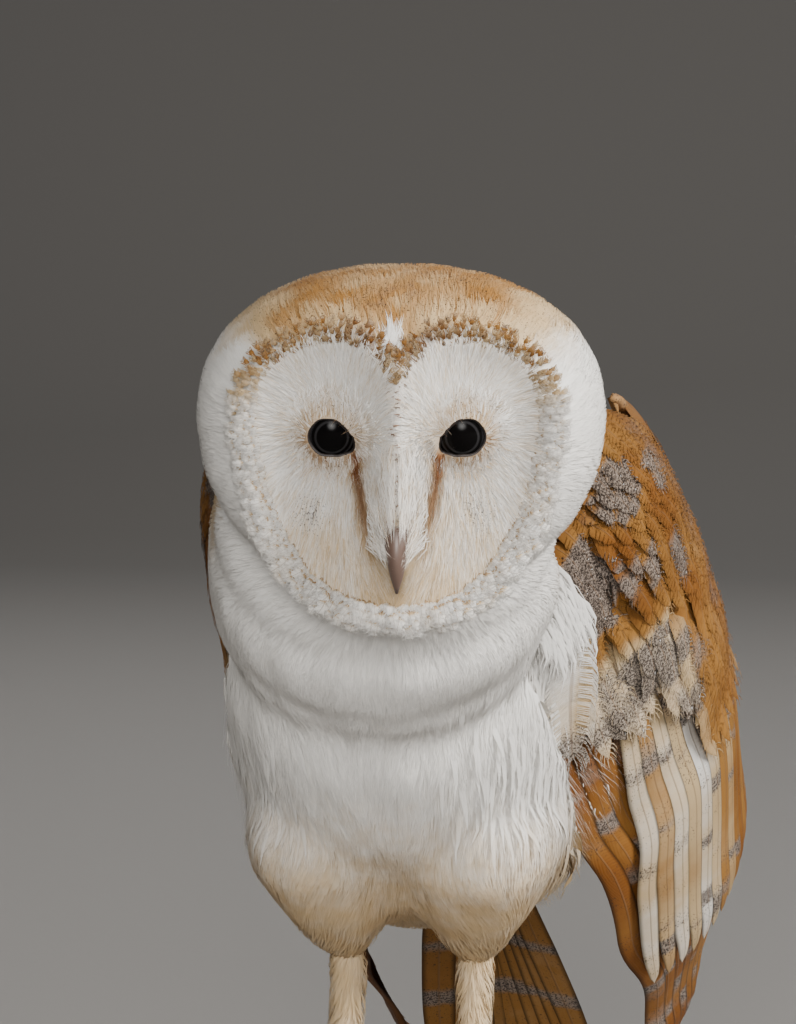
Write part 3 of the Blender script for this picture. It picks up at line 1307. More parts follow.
# %% Eyes
def plain(name, colour, roughness, coat_weight=0.0):
    made = bpy.data.materials.new(name)
    made.use_nodes = True
    shader = made.node_tree.nodes["Principled BSDF"]
    shader.inputs["Base Color"].default_value = (*colour, 1)
    shader.inputs["Roughness"].default_value = roughness
    shader.inputs["Coat Weight"].default_value = coat_weight
    shader.inputs["Coat Roughness"].default_value = 0.02
    return made


def shaped(name, bm, material, slot, *replaced):
    bmesh.ops.recalc_face_normals(bm, faces=bm.faces)
    mesh = bpy.data.meshes.new(name)
    bm.to_mesh(mesh)
    bm.free()
    mesh.polygons.foreach_set("use_smooth", np.ones(len(mesh.polygons), bool))
    mesh.materials.append(material)
    made = new_object(name, mesh)
    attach(made, "root")
    if replaced:
        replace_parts(made, *replaced)
    print(name, len(mesh.polygons), "faces")
    return made


EYE_BALL = plain("eye", (0.006, 0.005, 0.005), 0.14)
t = EYE_BALL.node_tree
t.nodes["Principled BSDF"].inputs["Specular IOR Level"].default_value = 0.08
from_axis = node(t, "ShaderNodeAttribute", attribute_name="from_axis").outputs["Fac"]
iris = maths(t, "MULTIPLY", step(t, from_axis, 3.4, 3.7), until(t, from_axis, 3.9, 4.2))
outer_ring = maths(t, "MULTIPLY", step(t, from_axis, 4.6, 4.9), until(t, from_axis, 5.0, 5.3))
rings = maths(t, "MAXIMUM", iris, outer_ring)
PUPIL, IRIS = (0.003, 0.0026, 0.0026), (0.022, 0.021, 0.022)
t.links.new(blend(t, rings, PUPIL, IRIS), t.nodes["Principled BSDF"].inputs["Base Color"])

GAZE = -BACK
for side, _ in SIDES:
    centre = middle_of(f"eye_{side}")
    bm = bmesh.new()
    bmesh.ops.create_uvsphere(bm, u_segments=48, v_segments=36, radius=EYE_RADIUS * MM)
    turn = Vector(GAZE).to_track_quat("Z", "Y").to_matrix().to_4x4()
    bmesh.ops.transform(bm, matrix=Matrix.Translation(centre) @ turn, verts=bm.verts)
    away = np.array([np.linalg.norm(np.cross(np.array(v.co) - centre, GAZE)) for v in bm.verts]) / MM
    ball = shaped(f"eyeball_{side}", bm, EYE_BALL, "eye", f"eye_{side}")
    kept = ball.data.attributes.new("from_axis", "FLOAT", "POINT")
    kept.data.foreach_set("value", away.astype(np.float32))

# %% [markdown]
# A lid starts as a thin rim on the ball and runs out to meet the face, so its loops of
# corners are bridged from the opening outwards and back under. Its opening isn't round:
# it is drawn in above, where the brow lies over the eye.

# %% Lids
LID_RIM = plain("lid rim", (0.022, 0.016, 0.014), 0.45)
TURNS = np.radians(np.arange(0, 360, 7.5))
LID_WIDE, LID_FAR, LID_BALL, LID_BALL_EDGE = 3.2, 9.8, 8.75, 8.4
RAY_FROM = 60


def skin_front(l, u):
    """How far the skin stands before the head's middle at (l, u), in millimetres."""
    found = []
    for start in from_head(np.stack([l, np.full(len(l), -float(RAY_FROM)), u], 1)).tolist():
        _, _, _, gap = skin_tree.ray_cast(start, Vector(BACK))
        found.append(RAY_FROM - gap / MM if gap is not None else 0.0)
    return np.array(found)


def at_eye(sign, turn, reach):
    """The place l and u at an angle and a distance from one eye's middle."""
    return sign * (EYE_APART - np.cos(turn) * reach), EYE_UP + np.sin(turn) * reach


def lid_end(l, u):
    """How far from the eye's middle the lid meets the face."""
    return np.maximum(lid_reach(l, u) + LID_WIDE, LID_FAR)


def lid_front(l, u):
    """How far the feathered part of a lid stands out: on the ball first, then out to the face."""
    far = from_eye(l, u)
    stretch = lid_end(l, u) / np.maximum(far, 0.1)
    end_l = np.sign(l) * (EYE_APART + (np.abs(l) - EYE_APART) * stretch)
    at_end = skin_front(end_l, EYE_UP + (u - EYE_UP) * stretch) - 0.2
    ball = EYE_DEEP + np.sqrt(LID_BALL**2 - np.minimum(far, LID_BALL_EDGE) ** 2)
    here = skin_front(l, u)
    within = ball + (at_end - ball) * smooth(far, lid_reach(l, u) + 0.6, lid_end(l, u))
    return np.where(stretch > 1, np.maximum(within, here - 0.2), here)


def lid_ring(sign, place, level):
    """A loop round the eye. place runs from 0 at the opening to 1 at the face."""
    l, u = at_eye(1, TURNS, 1)
    reach = lid_reach(l, u)
    reach = reach + place * (lid_end(l, u) - reach) if level in ("lid", "under") else reach + place
    l, u = at_eye(sign, TURNS, reach)
    if level == "lid":
        front = lid_front(l, u)
    elif level == "under":
        front = np.full(len(l), EYE_DEEP + 1.0)
    else:
        front = EYE_DEEP + np.sqrt(level**2 - reach**2)
    return np.stack([l, -front, u], 1)


def ring_of(bm, places):
    """A closed loop of edges through some places, with its corners."""
    corners = [bm.verts.new(p) for p in places]
    return [bm.edges.new((corners[k], corners[(k + 1) % len(corners)])) for k in range(len(corners))], corners


LID_LOOPS = ((-0.25, 7.95), (-0.1, 8.35), (0.07, "lid"), (0.2, "lid"), (0.4, "lid"), (0.65, "lid"),
             (1.0, "lid"), (0.75, "under"))
for side, sign in SIDES:
    bm = bmesh.new()
    loops = [ring_of(bm, from_head(lid_ring(sign, *row)))[0] for row in LID_LOOPS]
    for k in range(len(loops)):
        made = bmesh.ops.bridge_loops(bm, edges=loops[k] + loops[(k + 1) % len(loops)])
        for face in made["faces"]:
            face.material_index = 0 if k in (0, 1, len(loops) - 1) else 1
    lid = shaped(f"lid_{side}", bm, LID_RIM, "eye")
    lid.data.materials.append(DOWN)
    spots = values_of(lid.data.vertices, "co").astype(float)
    lid_tint = markings(spots, np.tile(GAZE, (len(spots), 1)))
    keep_on_points(lid.data, tint=lid_tint, lie=np.tile(PLAIN_LIE, (len(spots), 1)))

# %% [markdown]
# Two kinds of feather cover the lid. Short ones stand all round the opening and lie away
# from it, and a few thin dark ones hang from the brow over the inner corner.


# %% Lid feathers
def lid_hair(sign, count):
    """Short strands that stand on the lid and lie away from the opening."""
    turn = chance.uniform(0, 2 * math.pi, count)
    opening = lid_reach(*at_eye(1, turn, 1))
    more = 0.25 + (np.maximum(LID_WIDE, LID_FAR - opening) - 0.25) * chance.random(count) ** 0.85
    long = 1.6 + 0.55 * more
    above = np.clip(np.sin(turn - 0.5), 0, 1)
    path = []
    for share in (0, 0.5, 1):
        spin = turn + share * 0.2 * np.sin(turn * 2) + share * chance.normal(0, 0.05, count)
        l, u = at_eye(sign, spin, opening + more + share * long)
        front = lid_front(l, u) + 0.05 + (0.95 + 0.5 * above) * share**0.7
        path.append(np.stack([l, -front, u], 1))
    path = from_head(np.stack(path, 1))
    up = np.repeat(unit(GAZE + 0.3 * unit(path[:, 0] - path[:, 0].mean(0)))[:, None], 3, 1)
    marks = markings(path[:, 1], up[:, 0]) * chance.uniform(0.3, 1.5, (count, 1))
    wide = np.full(count, 0.22) * MM
    return strands(path, up, wide, on_skin(path[:, 0])[2], marks, LOW_BLADE, 0.35, 0.45)


def brow_wisps(sign, count):
    """Longer strands from the brow that hang over the inner corner of the eye."""
    turn = np.radians(chance.uniform(20, 80, count))
    start = lid_reach(*at_eye(1, turn, 1)) + chance.uniform(1.4, 3.8, count)
    long = 2.4 * chance.uniform(0.7, 1.3, count)
    l, u = at_eye(sign, turn, start)
    fall = np.radians(-25 + chance.normal(0, 16, count))
    path = []
    for share in (0, 0.4, 0.75, 1):
        run_l = l + sign * np.cos(fall) * long * share
        run_u = u + np.sin(fall) * long * share - 0.8 * share**2
        front = lid_front(run_l, run_u) + 0.3 + 1.5 * math.sin(math.pi * min(0.85, share))
        path.append(np.stack([run_l, -front, run_u], 1))
    path = from_head(np.stack(path, 1))
    up = np.repeat(np.tile(GAZE, (count, 1))[:, None], 4, 1)
    marks = np.tile([0.4, 0.85, 0.2], (count, 1)) * chance.uniform(0.5, 1.1, (count, 1))
    wide = np.full(count, 0.045) * MM
    return strands(path, up, wide, on_skin(path[:, 0])[2], marks, BLADE, 0.3, 0.2)


made = [lid_hair(sign, 1500) for _, sign in SIDES] + [brow_wisps(sign, 12) for _, sign in SIDES]
grown("lid_hair", made, DOWN)

# %% [markdown]
# ## The bill
# The bill hooks down out of the face. Each half is a tube of rings along a curve. The
# rings shrink to a blunt point, and bristles hide where it starts.

# %% Bill
BILL_HORN = plain("bill horn", (0.13, 0.082, 0.063), 0.42, 0.1)
CERE_SKIN = plain("cere skin", (0.42, 0.30, 0.25), 0.6)
UPPER_BILL = ((0, (-26, -8), (4.2, 4.3)), (0.3, (-35, -16), (3.6, 3.6)), (0.6, (-39.6, -22.5), (2.6, 2.6)),
              (0.82, (-40.6, -27.5), (1.7, 1.7)), (1.0, (-39.5, -32.3), (0.35, 0.35)))
CERE = ((0, (-25, -8), (5.6, 5.6)), (0.4, (-31.5, -12.5), (5.4, 5.0)), (0.8, (-35.6, -16.8), (4.6, 4.4)),
        (1.0, (-36.6, -18.4), (3.9, 3.7)))
LOWER_BILL = ((0, (-26, -14), (3.6, 2.2)), (0.5, (-33, -21.5), (2.9, 1.7)), (1.0, (-36.4, -28.2), (1.0, 0.6)))


def horn(name, stations, material, slot, replaced, sides=20, rings=14):
    keys = np.array([[t, *place, *size] for t, place, size in stations], float)
    t = np.linspace(0, 1, rings)
    back, up, half, deep = (np.interp(t, keys[:, 0], keys[:, k]) for k in (1, 2, 3, 4))
    if len(stations) > 3:
        curve = np.polyfit(keys[:, 0], keys[:, 1], 3), np.polyfit(keys[:, 0], keys[:, 2], 3)
        back, up = np.polyval(curve[0], t), np.polyval(curve[1], t)
    way = unit(np.stack([np.gradient(back), np.gradient(up)], 1))
    spin = np.linspace(0, 2 * math.pi, sides, endpoint=False)
    bm = bmesh.new()
    loops = []
    for k in range(rings):
        l, out = half[k] * np.cos(spin), deep[k] * np.sin(spin)
        ring = np.stack([l, back[k] + way[k, 1] * out, up[k] - way[k, 0] * out], 1)
        loops.append(ring_of(bm, from_head(ring)))
    for (first, _), (second, _) in zip(loops, loops[1:]):
        bmesh.ops.bridge_loops(bm, edges=first + second)
    for _, corners in (loops[0], loops[-1]):
        bm.faces.new(corners)
    return shaped(name, bm, material, slot, *replaced)


horn("upper_bill", UPPER_BILL, BILL_HORN, "bill", ["bill_upper"])
horn("cere", CERE, CERE_SKIN, "bill", [])
horn("lower_bill", LOWER_BILL, BILL_HORN, "bill", ["bill_lower"])

# %% [markdown]
# Hair-like bristles start beside the bill's ridge and all aim at its tip. They close over
# the bill's root, so that only the hooked end shows.


# %% Bristles over the bill
def bristles(count):
    """Long hairs that run down both sides of the ridge and close over the bill's root."""
    side = np.where(chance.random(count) < 0.5, -1, 1)
    low = chance.random(count) < 0.55
    u = np.where(low, chance.uniform(-23, -8, count), chance.uniform(-10, 4, count))
    l = side * np.where(low, chance.uniform(3.8, 7.5, count), chance.uniform(0.1, 4.5, count))
    root = from_head(np.stack([l, -face_front(l, u), u], 1))
    root, up0, spots = on_skin(root)
    aim_l = side * (0.4 + 1.4 * chance.random(count))
    aim = np.stack([aim_l, np.full(count, -42.6), np.full(count, -24.5) + chance.normal(0, 1.6, count)], 1)
    way = from_head(aim) - root
    far = np.linalg.norm(way, axis=1, keepdims=True)
    share = np.minimum(far[:, 0], chance.uniform(5, 11, count) * MM)[:, None] / far
    swell = np.stack([side * 0.8 * chance.random(count), -0.6 - 0.8 * chance.random(count), 0 * side], 1)
    swell = swell @ HEAD_AXES
    path = []
    for s in (0, 0.35, 0.7, 1):
        bend = swell * MM * (1.3 * math.sin(math.pi * min(s + 0.15, 1)) + 0.5)
        path.append(root + way * share * s + bend + chance.normal(0, 0.35, (count, 3)) * MM * s)
    path = np.stack(path, 1)
    path[:, 0] -= up0 * 0.6 * MM
    aside = np.stack([side * 0.5, np.full(count, -1.0), np.full(count, 0.2)], 1) @ HEAD_AXES
    up = np.repeat(unit(aside + up0)[:, None], 4, 1)
    dark = (chance.random(count) > 0.88)[:, None]
    marks = np.tile([0.12, 0.02, 0.0], (count, 1)) + np.array([0.1, 0.2, 0]) * dark
    return strands(path, up, np.full(count, 0.19) * MM, spots, marks, BLADE, 0.3, 0.3)


grown("bill_bristles", [bristles(1100)], DOWN)

# %% [markdown]
# ## Wing feathers
# Flight feathers make a fan, and each one's edge lies over its neighbour. Rows of coverts
# close it from above, small ones at the wrist and long ones behind.

# %% Flight feathers
def flight(word, count, start, reach, low, high, level, golds, grey, bars, width, camber_tilt, rows=44):
    """A fan of flight feathers, tiled so that each one's lower edge lies over its neighbour."""
    j = (np.arange(count) + 0.42) / count
    tip = reach(j)
    t = np.linspace(0, 1, rows + 1)
    a = start + (tip[:, None] - start) * t
    b = profile(low, a) + (profile(high, a) - profile(low, a)) * j[:, None]
    place = on_wing(word, a, b, level + 0.9 + 0.5 * (j[:, None] - 0.5))
    up = wing_normal(word, a, b)
    spots, size = cells(count)
    phase = chance.uniform(-0.5, 0.5, count)[:, None]
    bar = smooth(np.cos((a / bars + phase) * 2 * math.pi), 0.35, 0.95)
    tint = np.zeros((count, rows + 1, 3))
    tint[:, :, 0] = golds[:, None] + 0.1 * mottle(place, 16, 5)
    broken = 0.25 + 0.75 * smooth(mottle(place, 3.5, 6), -0.5, 0.6)
    spread = bar * broken * chance.uniform(0.4, 1.1, (count, 1))
    tint[:, :, 2] = grey * (spread + 0.7 * smooth(mottle(place, 5, 8), 0.0, 0.8))
    return vanes(place, up, np.full(count, width) * MM, leaf_shape(rows, 0.5, 0.6, 9), spots, tint,
                 7, 0.5, 0.26, camber_tilt * WINGS[word][0], 0.0, size)


LAYER = 3.4
SECONDARY_LOW = [(50, -1), (70, -6), (110, -13), (147, -19), (197, -20)]
SECONDARY_HIGH = [(50, 53), (130, 54), (197, 40)]
PRIMARY_LOW = [(30, -14), (60, -20), (109, -24), (160, -21), (220, -11), (269, -2)]
PRIMARY_HIGH = [(30, 20), (110, 24), (200, 21), (268, 9)]
SECONDARY_GOLD = np.array([0.30, 0.56, 0.24, 0.42, 0.21, 0.36, 0.70, 0.52, 0.8, 0.9, 0.74, 0.84, 0.9])
PRIMARY_GOLD = np.linspace(0.98, 0.82, 10)


def secondary_tips(j):
    return 178 + 18 * np.sin(math.pi * (0.15 + 0.7 * j))


def primary_tips(j):
    return 269 - 70 * j**1.15 - 10 * (1 - j) ** 6


for word in WINGS:
    made = flight(word, len(SECONDARY_GOLD), 50, secondary_tips, SECONDARY_LOW, SECONDARY_HIGH, -LAYER,
                  SECONDARY_GOLD, grey=0.72, bars=25, width=3.3, camber_tilt=-0.12)
    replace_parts(grown(f"secondary_vanes_{word}", [made], FLIGHT), f"secondaries_{word}")
    made = flight(word, len(PRIMARY_GOLD), 56, primary_tips, PRIMARY_LOW, PRIMARY_HIGH, -2 * LAYER,
                  PRIMARY_GOLD, grey=0.6, bars=27, width=3.6, camber_tilt=-0.25)
    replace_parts(grown(f"primary_vanes_{word}", [made], FLIGHT), f"primaries_{word}")

# %% [markdown]
# Coverts lie in rows that start further and further from the wrist. A row's feathers grow
# from just under the surface of a cushion and rise towards their tips, so that each row
# lies over the roots of the next. Barbs along the edges break the outline of each vane.


# %% Coverts
def covert_row(word, spec, a0, long, half, spacing, low, high, drift=0.0, raised=1.3, per_side=7,
               marks=wing_marks, rows=8, sink=0.9):
    """A row of feathers over a cushion, from b = low to b = high, with barbs at their edges."""
    count = max(1, int(round((high - low) / spacing)))
    b0 = low + (high - low) * (np.arange(count) + 0.5) / count + chance.uniform(-0.12, 0.12, count) * spacing
    a_root = a0 + chance.uniform(-0.25, 0.25, count) * spacing
    reach = long * chance.uniform(0.9, 1.1, count)
    t = np.linspace(0, 1, rows + 1)
    a = a_root[:, None] + reach[:, None] * t
    b = b0[:, None] + reach[:, None] * t * (drift + chance.normal(0, 0.04, count)[:, None])
    n = cushion(spec, a, b) - sink + raised * t - 2.5 * (1 - t) ** 4
    place, up = on_wing(word, a, b, n), wing_normal(word, a, b)
    tint = marks(a, b, place)
    tint[:, :, 2] *= 0.35 + 0.65 * smooth(t, 0.2, 0.6)
    spots, halves = on_skin(place[:, 0])[2], np.full(count, half) * chance.uniform(0.9, 1.1, count) * MM
    shape = leaf_shape(rows)
    made = [vanes(place, up, halves, shape, spots, tint, camber=0.18, teeth=0.1)]
    if per_side:
        fine = min(4.5, long * 0.2)
        made.append(barbs(place, up, halves, shape, spots, tint, per_side, fine, span=(0.3, 0.95), width=0.3))
    return made


COMB_ROWS = ((46, 26, -13, 6), (52, 28, -13, 8), (58, 28, -4, 16), (64, 28, 2, 20), (70, 28, 5, 22))
GREAT_ROWS = ((22, 34, 20), (34, 40, 20), (46, 46, 20), (60, 48, 16), (70, 46, 12), (80, 44, 10))
SCAPULAR_ROWS = ((14, 26), (22, 34), (32, 38), (46, 44), (62, 50))


def edge_of(spec, name, a0):
    """Where a cushion's low or high edge is at a0."""
    return float(profile(spec[name], a0))


for word in WINGS:
    small, great, mantle = [], [], []
    for a0 in np.arange(-8, 26, 4.5):
        low = edge_of(ARM, "low", a0) - 14 * smooth(a0, 0, 12)
        small += covert_row(word, ARM, a0, 11, 3.0, 4.2, low, edge_of(ARM, "high", a0), -0.05)
    for a0 in (26, 32, 38, 44):
        small += covert_row(word, ARM, a0, 16, 3.8, 5.2, -12, edge_of(ARM, "high", a0), -0.08)
    for a0, long, low, high in COMB_ROWS:
        great += covert_row(word, ARM, a0, long, 4.2, 5.2, low, high, -0.14, 1.6, 14)
    for a0 in (14, 26, 38, 50, 62):
        small += covert_row(word, ARM, a0, 22, 6.0, 8.0, -10, edge_of(ARM, "high", a0), -0.08, 0.2, 0,
                            rows=6, sink=2.3)
    for a0, long, low in GREAT_ROWS:
        high = edge_of(ARM, "high", a0) - 2
        great += covert_row(word, ARM, a0, long, 4.4, 5.4, low, high, -0.06, 0.9, 10, rows=12)
    grown(f"small_coverts_{word}", small, COVERT)
    grown(f"great_coverts_{word}", great, COVERT)
    for a0, long in SCAPULAR_ROWS:
        low, high = edge_of(SCAPULARS, "low", a0), edge_of(SCAPULARS, "high", a0)
        mantle += covert_row(word, SCAPULARS, a0, long, 5.4, 6.0, low, high, 0, 0.2, 10, rows=12)
    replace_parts(grown(f"scapular_vanes_{word}", mantle, COVERT), f"scapulars_{word}")

# %% [markdown]
# ## The thumb's feathers
# At the bend of the wing a white feather hangs in front of the others. Its outer half is
# smooth, its inner half is a comb of curved barbs, and a soft tuft covers its root.

# %% Alula
def thumb_marks(a, b, places):
    tip = smooth(a, 54, 66)
    gold = 0.05 + 0.16 * smooth(a, 25, 60)
    return np.stack([gold + 0 * b, 0 * a * b, 0.7 * tip + 0 * b], -1)


FACING_FRONT = np.array([0.15, -1.0, 0.1])


def thumb_feather(word, a_from, a_to, b_from, b_to, half, level, per_side, facing, rows=16):
    t = np.linspace(0, 1, rows + 1)[None]
    a = a_from + (a_to - a_from) * t
    b = b_from + (b_to - b_from) * t
    place = on_wing(word, a, b, level - 2.5 * t**2)
    ahead = FACING_FRONT * np.array([WINGS[word][0], 1, 1])
    up, tint = unit(wing_normal(word, a, b) + facing * ahead), thumb_marks(a, b, place)
    spots, halves = on_skin(place[:, 0])[2], np.full(1, half) * MM
    shape = leaf_shape(rows, 0.35, 0.6, 2.6)
    made = [vanes(place, up, halves, shape, spots, tint, columns=9, thick=0.4, camber=0.2, teeth=0.04,
                  warm=-0.3 * WINGS[word][0])]
    made.append(barbs(place, up, halves, shape, spots, tint, per_side, long=9, span=(0.15, 0.97),
                      width=0.3, rise=0.3))
    raised = (place + up * 0.25 * half * 0.2 * MM + up * 0.45 * MM)[:, 3:-1]
    taper = np.linspace(1, 0.5, raised.shape[1] - 1)
    dark = np.array([[0.3, 0.9, 0.9]])
    quill = strands(raised, up[:, 3:-1], np.array([0.45 * MM]), spots, dark, taper, 0.5, 0.4)
    return made + [quill]


for word in WINGS:
    thumb = thumb_feather(word, a_from=20, a_to=71, b_from=-14, b_to=-24, half=7.6, level=6.2,
                          per_side=80, facing=0.9)
    for a0 in (0, 5, 10, 15):
        thumb += covert_row(word, ALULA, a0, 15, 3.2, 4.5, -19, -8, -0.25, 1.6, 10, thumb_marks)
    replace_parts(grown(f"thumb_feathers_{word}", thumb, THUMB), f"alula_{word}")

# %% [markdown]
# White down closes what stiff feathers leave open: the hollow between the breast and the
# wing's edge, and the root of the thumb's feather. Most of its strands are fine, and some
# broad ones lie between them to close the gaps.

# %% Shoulder fluff
ALONG_DOWN = np.array([0, 0.35, 0.7, 1.0])


def shoulder_fluff(word, count):
    """White down that fills the hollow between the breast and the thumb's feathers."""
    a0, b0 = chance.uniform(-6, 50, count), chance.uniform(-31, -15, count)
    long, level = chance.uniform(14, 24, count), chance.uniform(0, 4.5, count)
    t = ALONG_DOWN
    a = a0[:, None] + long[:, None] * t
    b = b0[:, None] - 4 * t + chance.normal(0, 0.8, count)[:, None] * t
    n = level[:, None] + 1.2 * np.sin(math.pi * t)
    path, up = on_wing(word, a, b, n), wing_normal(word, a, b)
    marks = np.tile([0.05, 0.0, 0.0], (count, 1))
    wide = np.where(chance.random(count) < 0.25, 1.6, 0.34) * MM
    return strands(path, up, wide, on_skin(path[:, 0])[2], marks, BLADE, 0.15, 0.15)


def root_tuft(word, count):
    """Fine bluish white down that covers the root of the thumb's feather."""
    a0, b0 = chance.uniform(2, 20, count), chance.uniform(-22, -11, count)
    long = chance.uniform(14, 26, count)
    t = ALONG_DOWN
    a = a0[:, None] + long[:, None] * t
    b = b0[:, None] - 1 * t + chance.normal(0, 0.9, count)[:, None] * t
    n = 7.0 + 2.4 * np.sin(math.pi * t) + chance.uniform(-1.2, 0.6, count)[:, None]
    path, up = on_wing(word, a, b, n), wing_normal(word, a, b)
    wide = np.where(chance.random(count) < 0.3, 1.2, 0.2) * MM
    return strands(path, up, wide, on_skin(path[:, 0])[2], np.zeros((count, 3)), (0.8, 1.0, 0.6), 0.15, 0.25)


grown("root_tufts", [root_tuft("left", 600), root_tuft("right", 300)], DOWN)
grown("shoulder_fluff", [shoulder_fluff("left", 1100), shoulder_fluff("right", 400)], DOWN)

# %% [markdown]
# ## Flanks
# The coat is longest and loosest low on the flanks. Long leaves give it body there, and
# fine wisps that drift outwards and lift at their tips loosen its outline.


# %% Flanks
def flank(sign):
    """The lower flank of one side, where the coat is longest and loosest."""
    def wanted(p, n):
        low = smooth(p[:, 2], 0.066, 0.082) * (1 - smooth(p[:, 2], 0.125, 0.145))
        return low * smooth(n[:, 0] * sign, 0.35, 0.75) * smooth(-n[:, 1], -0.5, -0.1)
    return wanted


def flank_flow(places, normals):
    aside = np.sign(places[:, 0] - BREAST_X)[:, None] * np.array([1.0, 0, 0])
    return along_surface(body_flow(places, normals) + 0.55 * aside + np.array([0, 0.45, 0]), normals)


LOOSE = np.array([-0.25, 0.35, 0.75, 1.0])
wisps = []
for sign, high in ((1, 5.5), (-1, 3.2)):
    wisps.append(coat(["trunk"], 300, body_flow, even(15), width=1.5, depth=even(high * 0.6),
                      wanted=flank(sign), clump=NO_CLUMP, crown=0.08, soft=0.1, lift=LOOSE))
    wisps.append(coat(["trunk"], 900, flank_flow, even(17), width=0.065, depth=even(high),
                      wanted=flank(sign), clump=(5, 0.15), stray=0.12, soft=0.2, lift=LOOSE))
grown("flank_wisps", wisps, DOWN)

# %% [markdown]
# ## The tail
# Twelve stiff feathers make a short arched fan. They run down and back from the trunk,
# the outer ones a little shorter, with grey bars across gold.

# %% Tail
TAIL_ROOT, TAIL_PITCH, TAIL_LONG, TAIL_FEATHERS = np.array([0, 84, 92.0]), 0.72, 118.0, 12
rows = 28
over = ((np.arange(TAIL_FEATHERS) + 0.5) / TAIL_FEATHERS * 2 - 1)[:, None]
a = (TAIL_LONG - 7 * over**2) * np.linspace(0, 1, rows + 1)
half = 11 + (23 - 11) * smooth(a / TAIL_LONG, 0, 1)
arch = 5 * (1 - over**2) + 0.4 - 0.6 * np.abs(over)
lean_y, lean_z = math.cos(TAIL_PITCH), math.sin(TAIL_PITCH)
place = np.stack([over * half * 0.94, a * lean_y + arch * lean_z, arch * lean_y - a * lean_z], -1)
place = (place + TAIL_ROOT + OWL_SHIFT) * MM
up = unit(np.stack([over * 0.25 + 0 * a, lean_z + 0 * a, lean_y + 0 * a], -1))
tint = np.zeros((TAIL_FEATHERS, rows + 1, 3))
tint[:, :, 0] = 0.72 + 0.08 * mottle(place, 14, 3)
tint[:, :, 2] = 0.62 * smooth(np.cos(a / 26 * 2 * math.pi), 0.4, 0.95) + 0.14
spots, size = cells(TAIL_FEATHERS)
made = vanes(place, up, np.full(TAIL_FEATHERS, 4.6) * MM, leaf_shape(rows, 0.45, 0.6, 9), spots, tint,
             columns=7, thick=0.5, camber=0.06, cell=size)
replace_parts(grown("tail_vanes", [made], FLIGHT), "tail")

# %% [markdown]
# ## The back
# Between the wings the back has broad rounded feathers, which lie like tiles down the
# middle. They are scattered rather than set in rows, so their order looks grown.


# %% Back
def on_back(points, normals):
    facing = (normals[:, 1] > 0.2) * (normals[:, 2] > 0.12) * (np.abs(points[:, 0] - BREAST_X) < 0.03)
    return smooth(normals @ DORSAL, 0.3, 0.5) * smooth(points[:, 1], -0.085, -0.05) * facing


def back_feathers(parts, count, long, half):
    roots = scattered(parts, count, on_back)
    path, up, spots = walk(roots, body_flow, long * chance.uniform(0.85, 1.15, count) * MM, 6, 0.12)
    path = path + up * (np.linspace(-0.3, 1, 7) * 3.8 * MM)[None, :, None]
    tint = np.repeat(markings(path[:, 0], up[:, 0])[:, None], 7, 1)
    tint[:, :, 2] *= np.linspace(0.3, 1.2, 7)
    halves = np.full(count, half) * chance.uniform(0.9, 1.1, count) * MM
    blades = vanes(path, up, halves, leaf_shape(6), spots, tint, camber=0.2, teeth=0.1)
    fringe = barbs(path, up, halves, leaf_shape(6), spots, tint, per_side=2, long=3.5, span=(0.6, 0.95),
                   width=0.4)
    return [blades, fringe]


made = back_feathers(["trunk"], 190, long=17, half=5.4) + back_feathers(["neck"], 90, long=12, half=3.4)
grown("back_feathers", made, COVERT)

# %% [markdown]
# ## Feet
# The toes are bare skin with a few bristles. Small plates ring each toe from above, and a
# curved claw of dark horn ends it.

# %% Toes
TOES = [n for n in sorted(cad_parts) if n.startswith("toe_")]
TOP = np.array([0, 0, 1])


def toe_line(name):
    """The level line of a toe: where it starts at the foot and where its claw begins."""
    corners, claw = corners_of(name), corners_of(name.replace("toe", "claw")).mean(0)
    middle = corners.mean(0)
    way = unit((claw - middle) * np.array([1, 1, 0]))
    reach = (corners - middle) @ way
    return middle + way * (reach.min() + 1.5 * MM), middle + way * (reach.max() - 1.0 * MM), way


def on_toe(name, count, spread):
    """Places on the top of a toe, the way along it and the normals."""
    start, end, way = toe_line(name)
    share = (np.arange(count) + 0.5) / count
    place = start + (end - start) * share[:, None]
    aside = np.cross(TOP, way)
    place = place + aside * (spread * MM)[:, None] + TOP * 8 * MM
    hits = [skin_tree.ray_cast(Vector(p), Vector(-TOP)) for p in place.tolist()]
    found = np.array([h[0] is not None and h[0].z < 16 * MM for h in hits])
    found = np.flatnonzero(found)
    top = np.array([hits[k][0] for k in found])
    up = np.array([hits[k][1] for k in found])
    return top, unit(up + TOP * 0.4), way


SCUTES, TOE_BRISTLES = 13, 90
SCUTE_SHAPE = np.array([0.7, 0.95, 1.0, 0.85, 0.3])
SCUTE_LONG, SCUTE_HALF = 2.3, 1.9
SCUTE_RUN = np.linspace(-0.2, 1, 5)[:, None]
SCUTE_RISE = 0.05 + 0.3 * np.linspace(0, 1, 5)[:, None]
BRISTLE_RUN, BRISTLE_RISE = np.array([[0], [0.5], [1]]), np.array([[-0.1], [0.28], [0.4]])
scutes, bristles_at = [], []
for name in TOES:
    top, up, way = on_toe(name, SCUTES, np.zeros(SCUTES))
    lines = top[:, None] + SCUTE_RUN * way * SCUTE_LONG * MM + up[:, None] * SCUTE_RISE * MM
    marks = np.tile(BARE_TOE * 1.15, (len(top), 1))
    scutes.append(vanes(lines, np.repeat(up[:, None], 5, 1), np.full(len(top), SCUTE_HALF) * MM,
                        SCUTE_SHAPE, on_skin(top)[2], marks, thick=0.25, camber=-0.3))
    top, up, way = on_toe(name, TOE_BRISTLES, chance.uniform(-2.6, 2.6, TOE_BRISTLES))
    bristles_at.append((top, up, np.repeat(way[None], len(top), 0)))
root, up, way = (np.concatenate(v) for v in zip(*bristles_at))
own = unit(way + chance.normal(0, 0.25, root.shape))
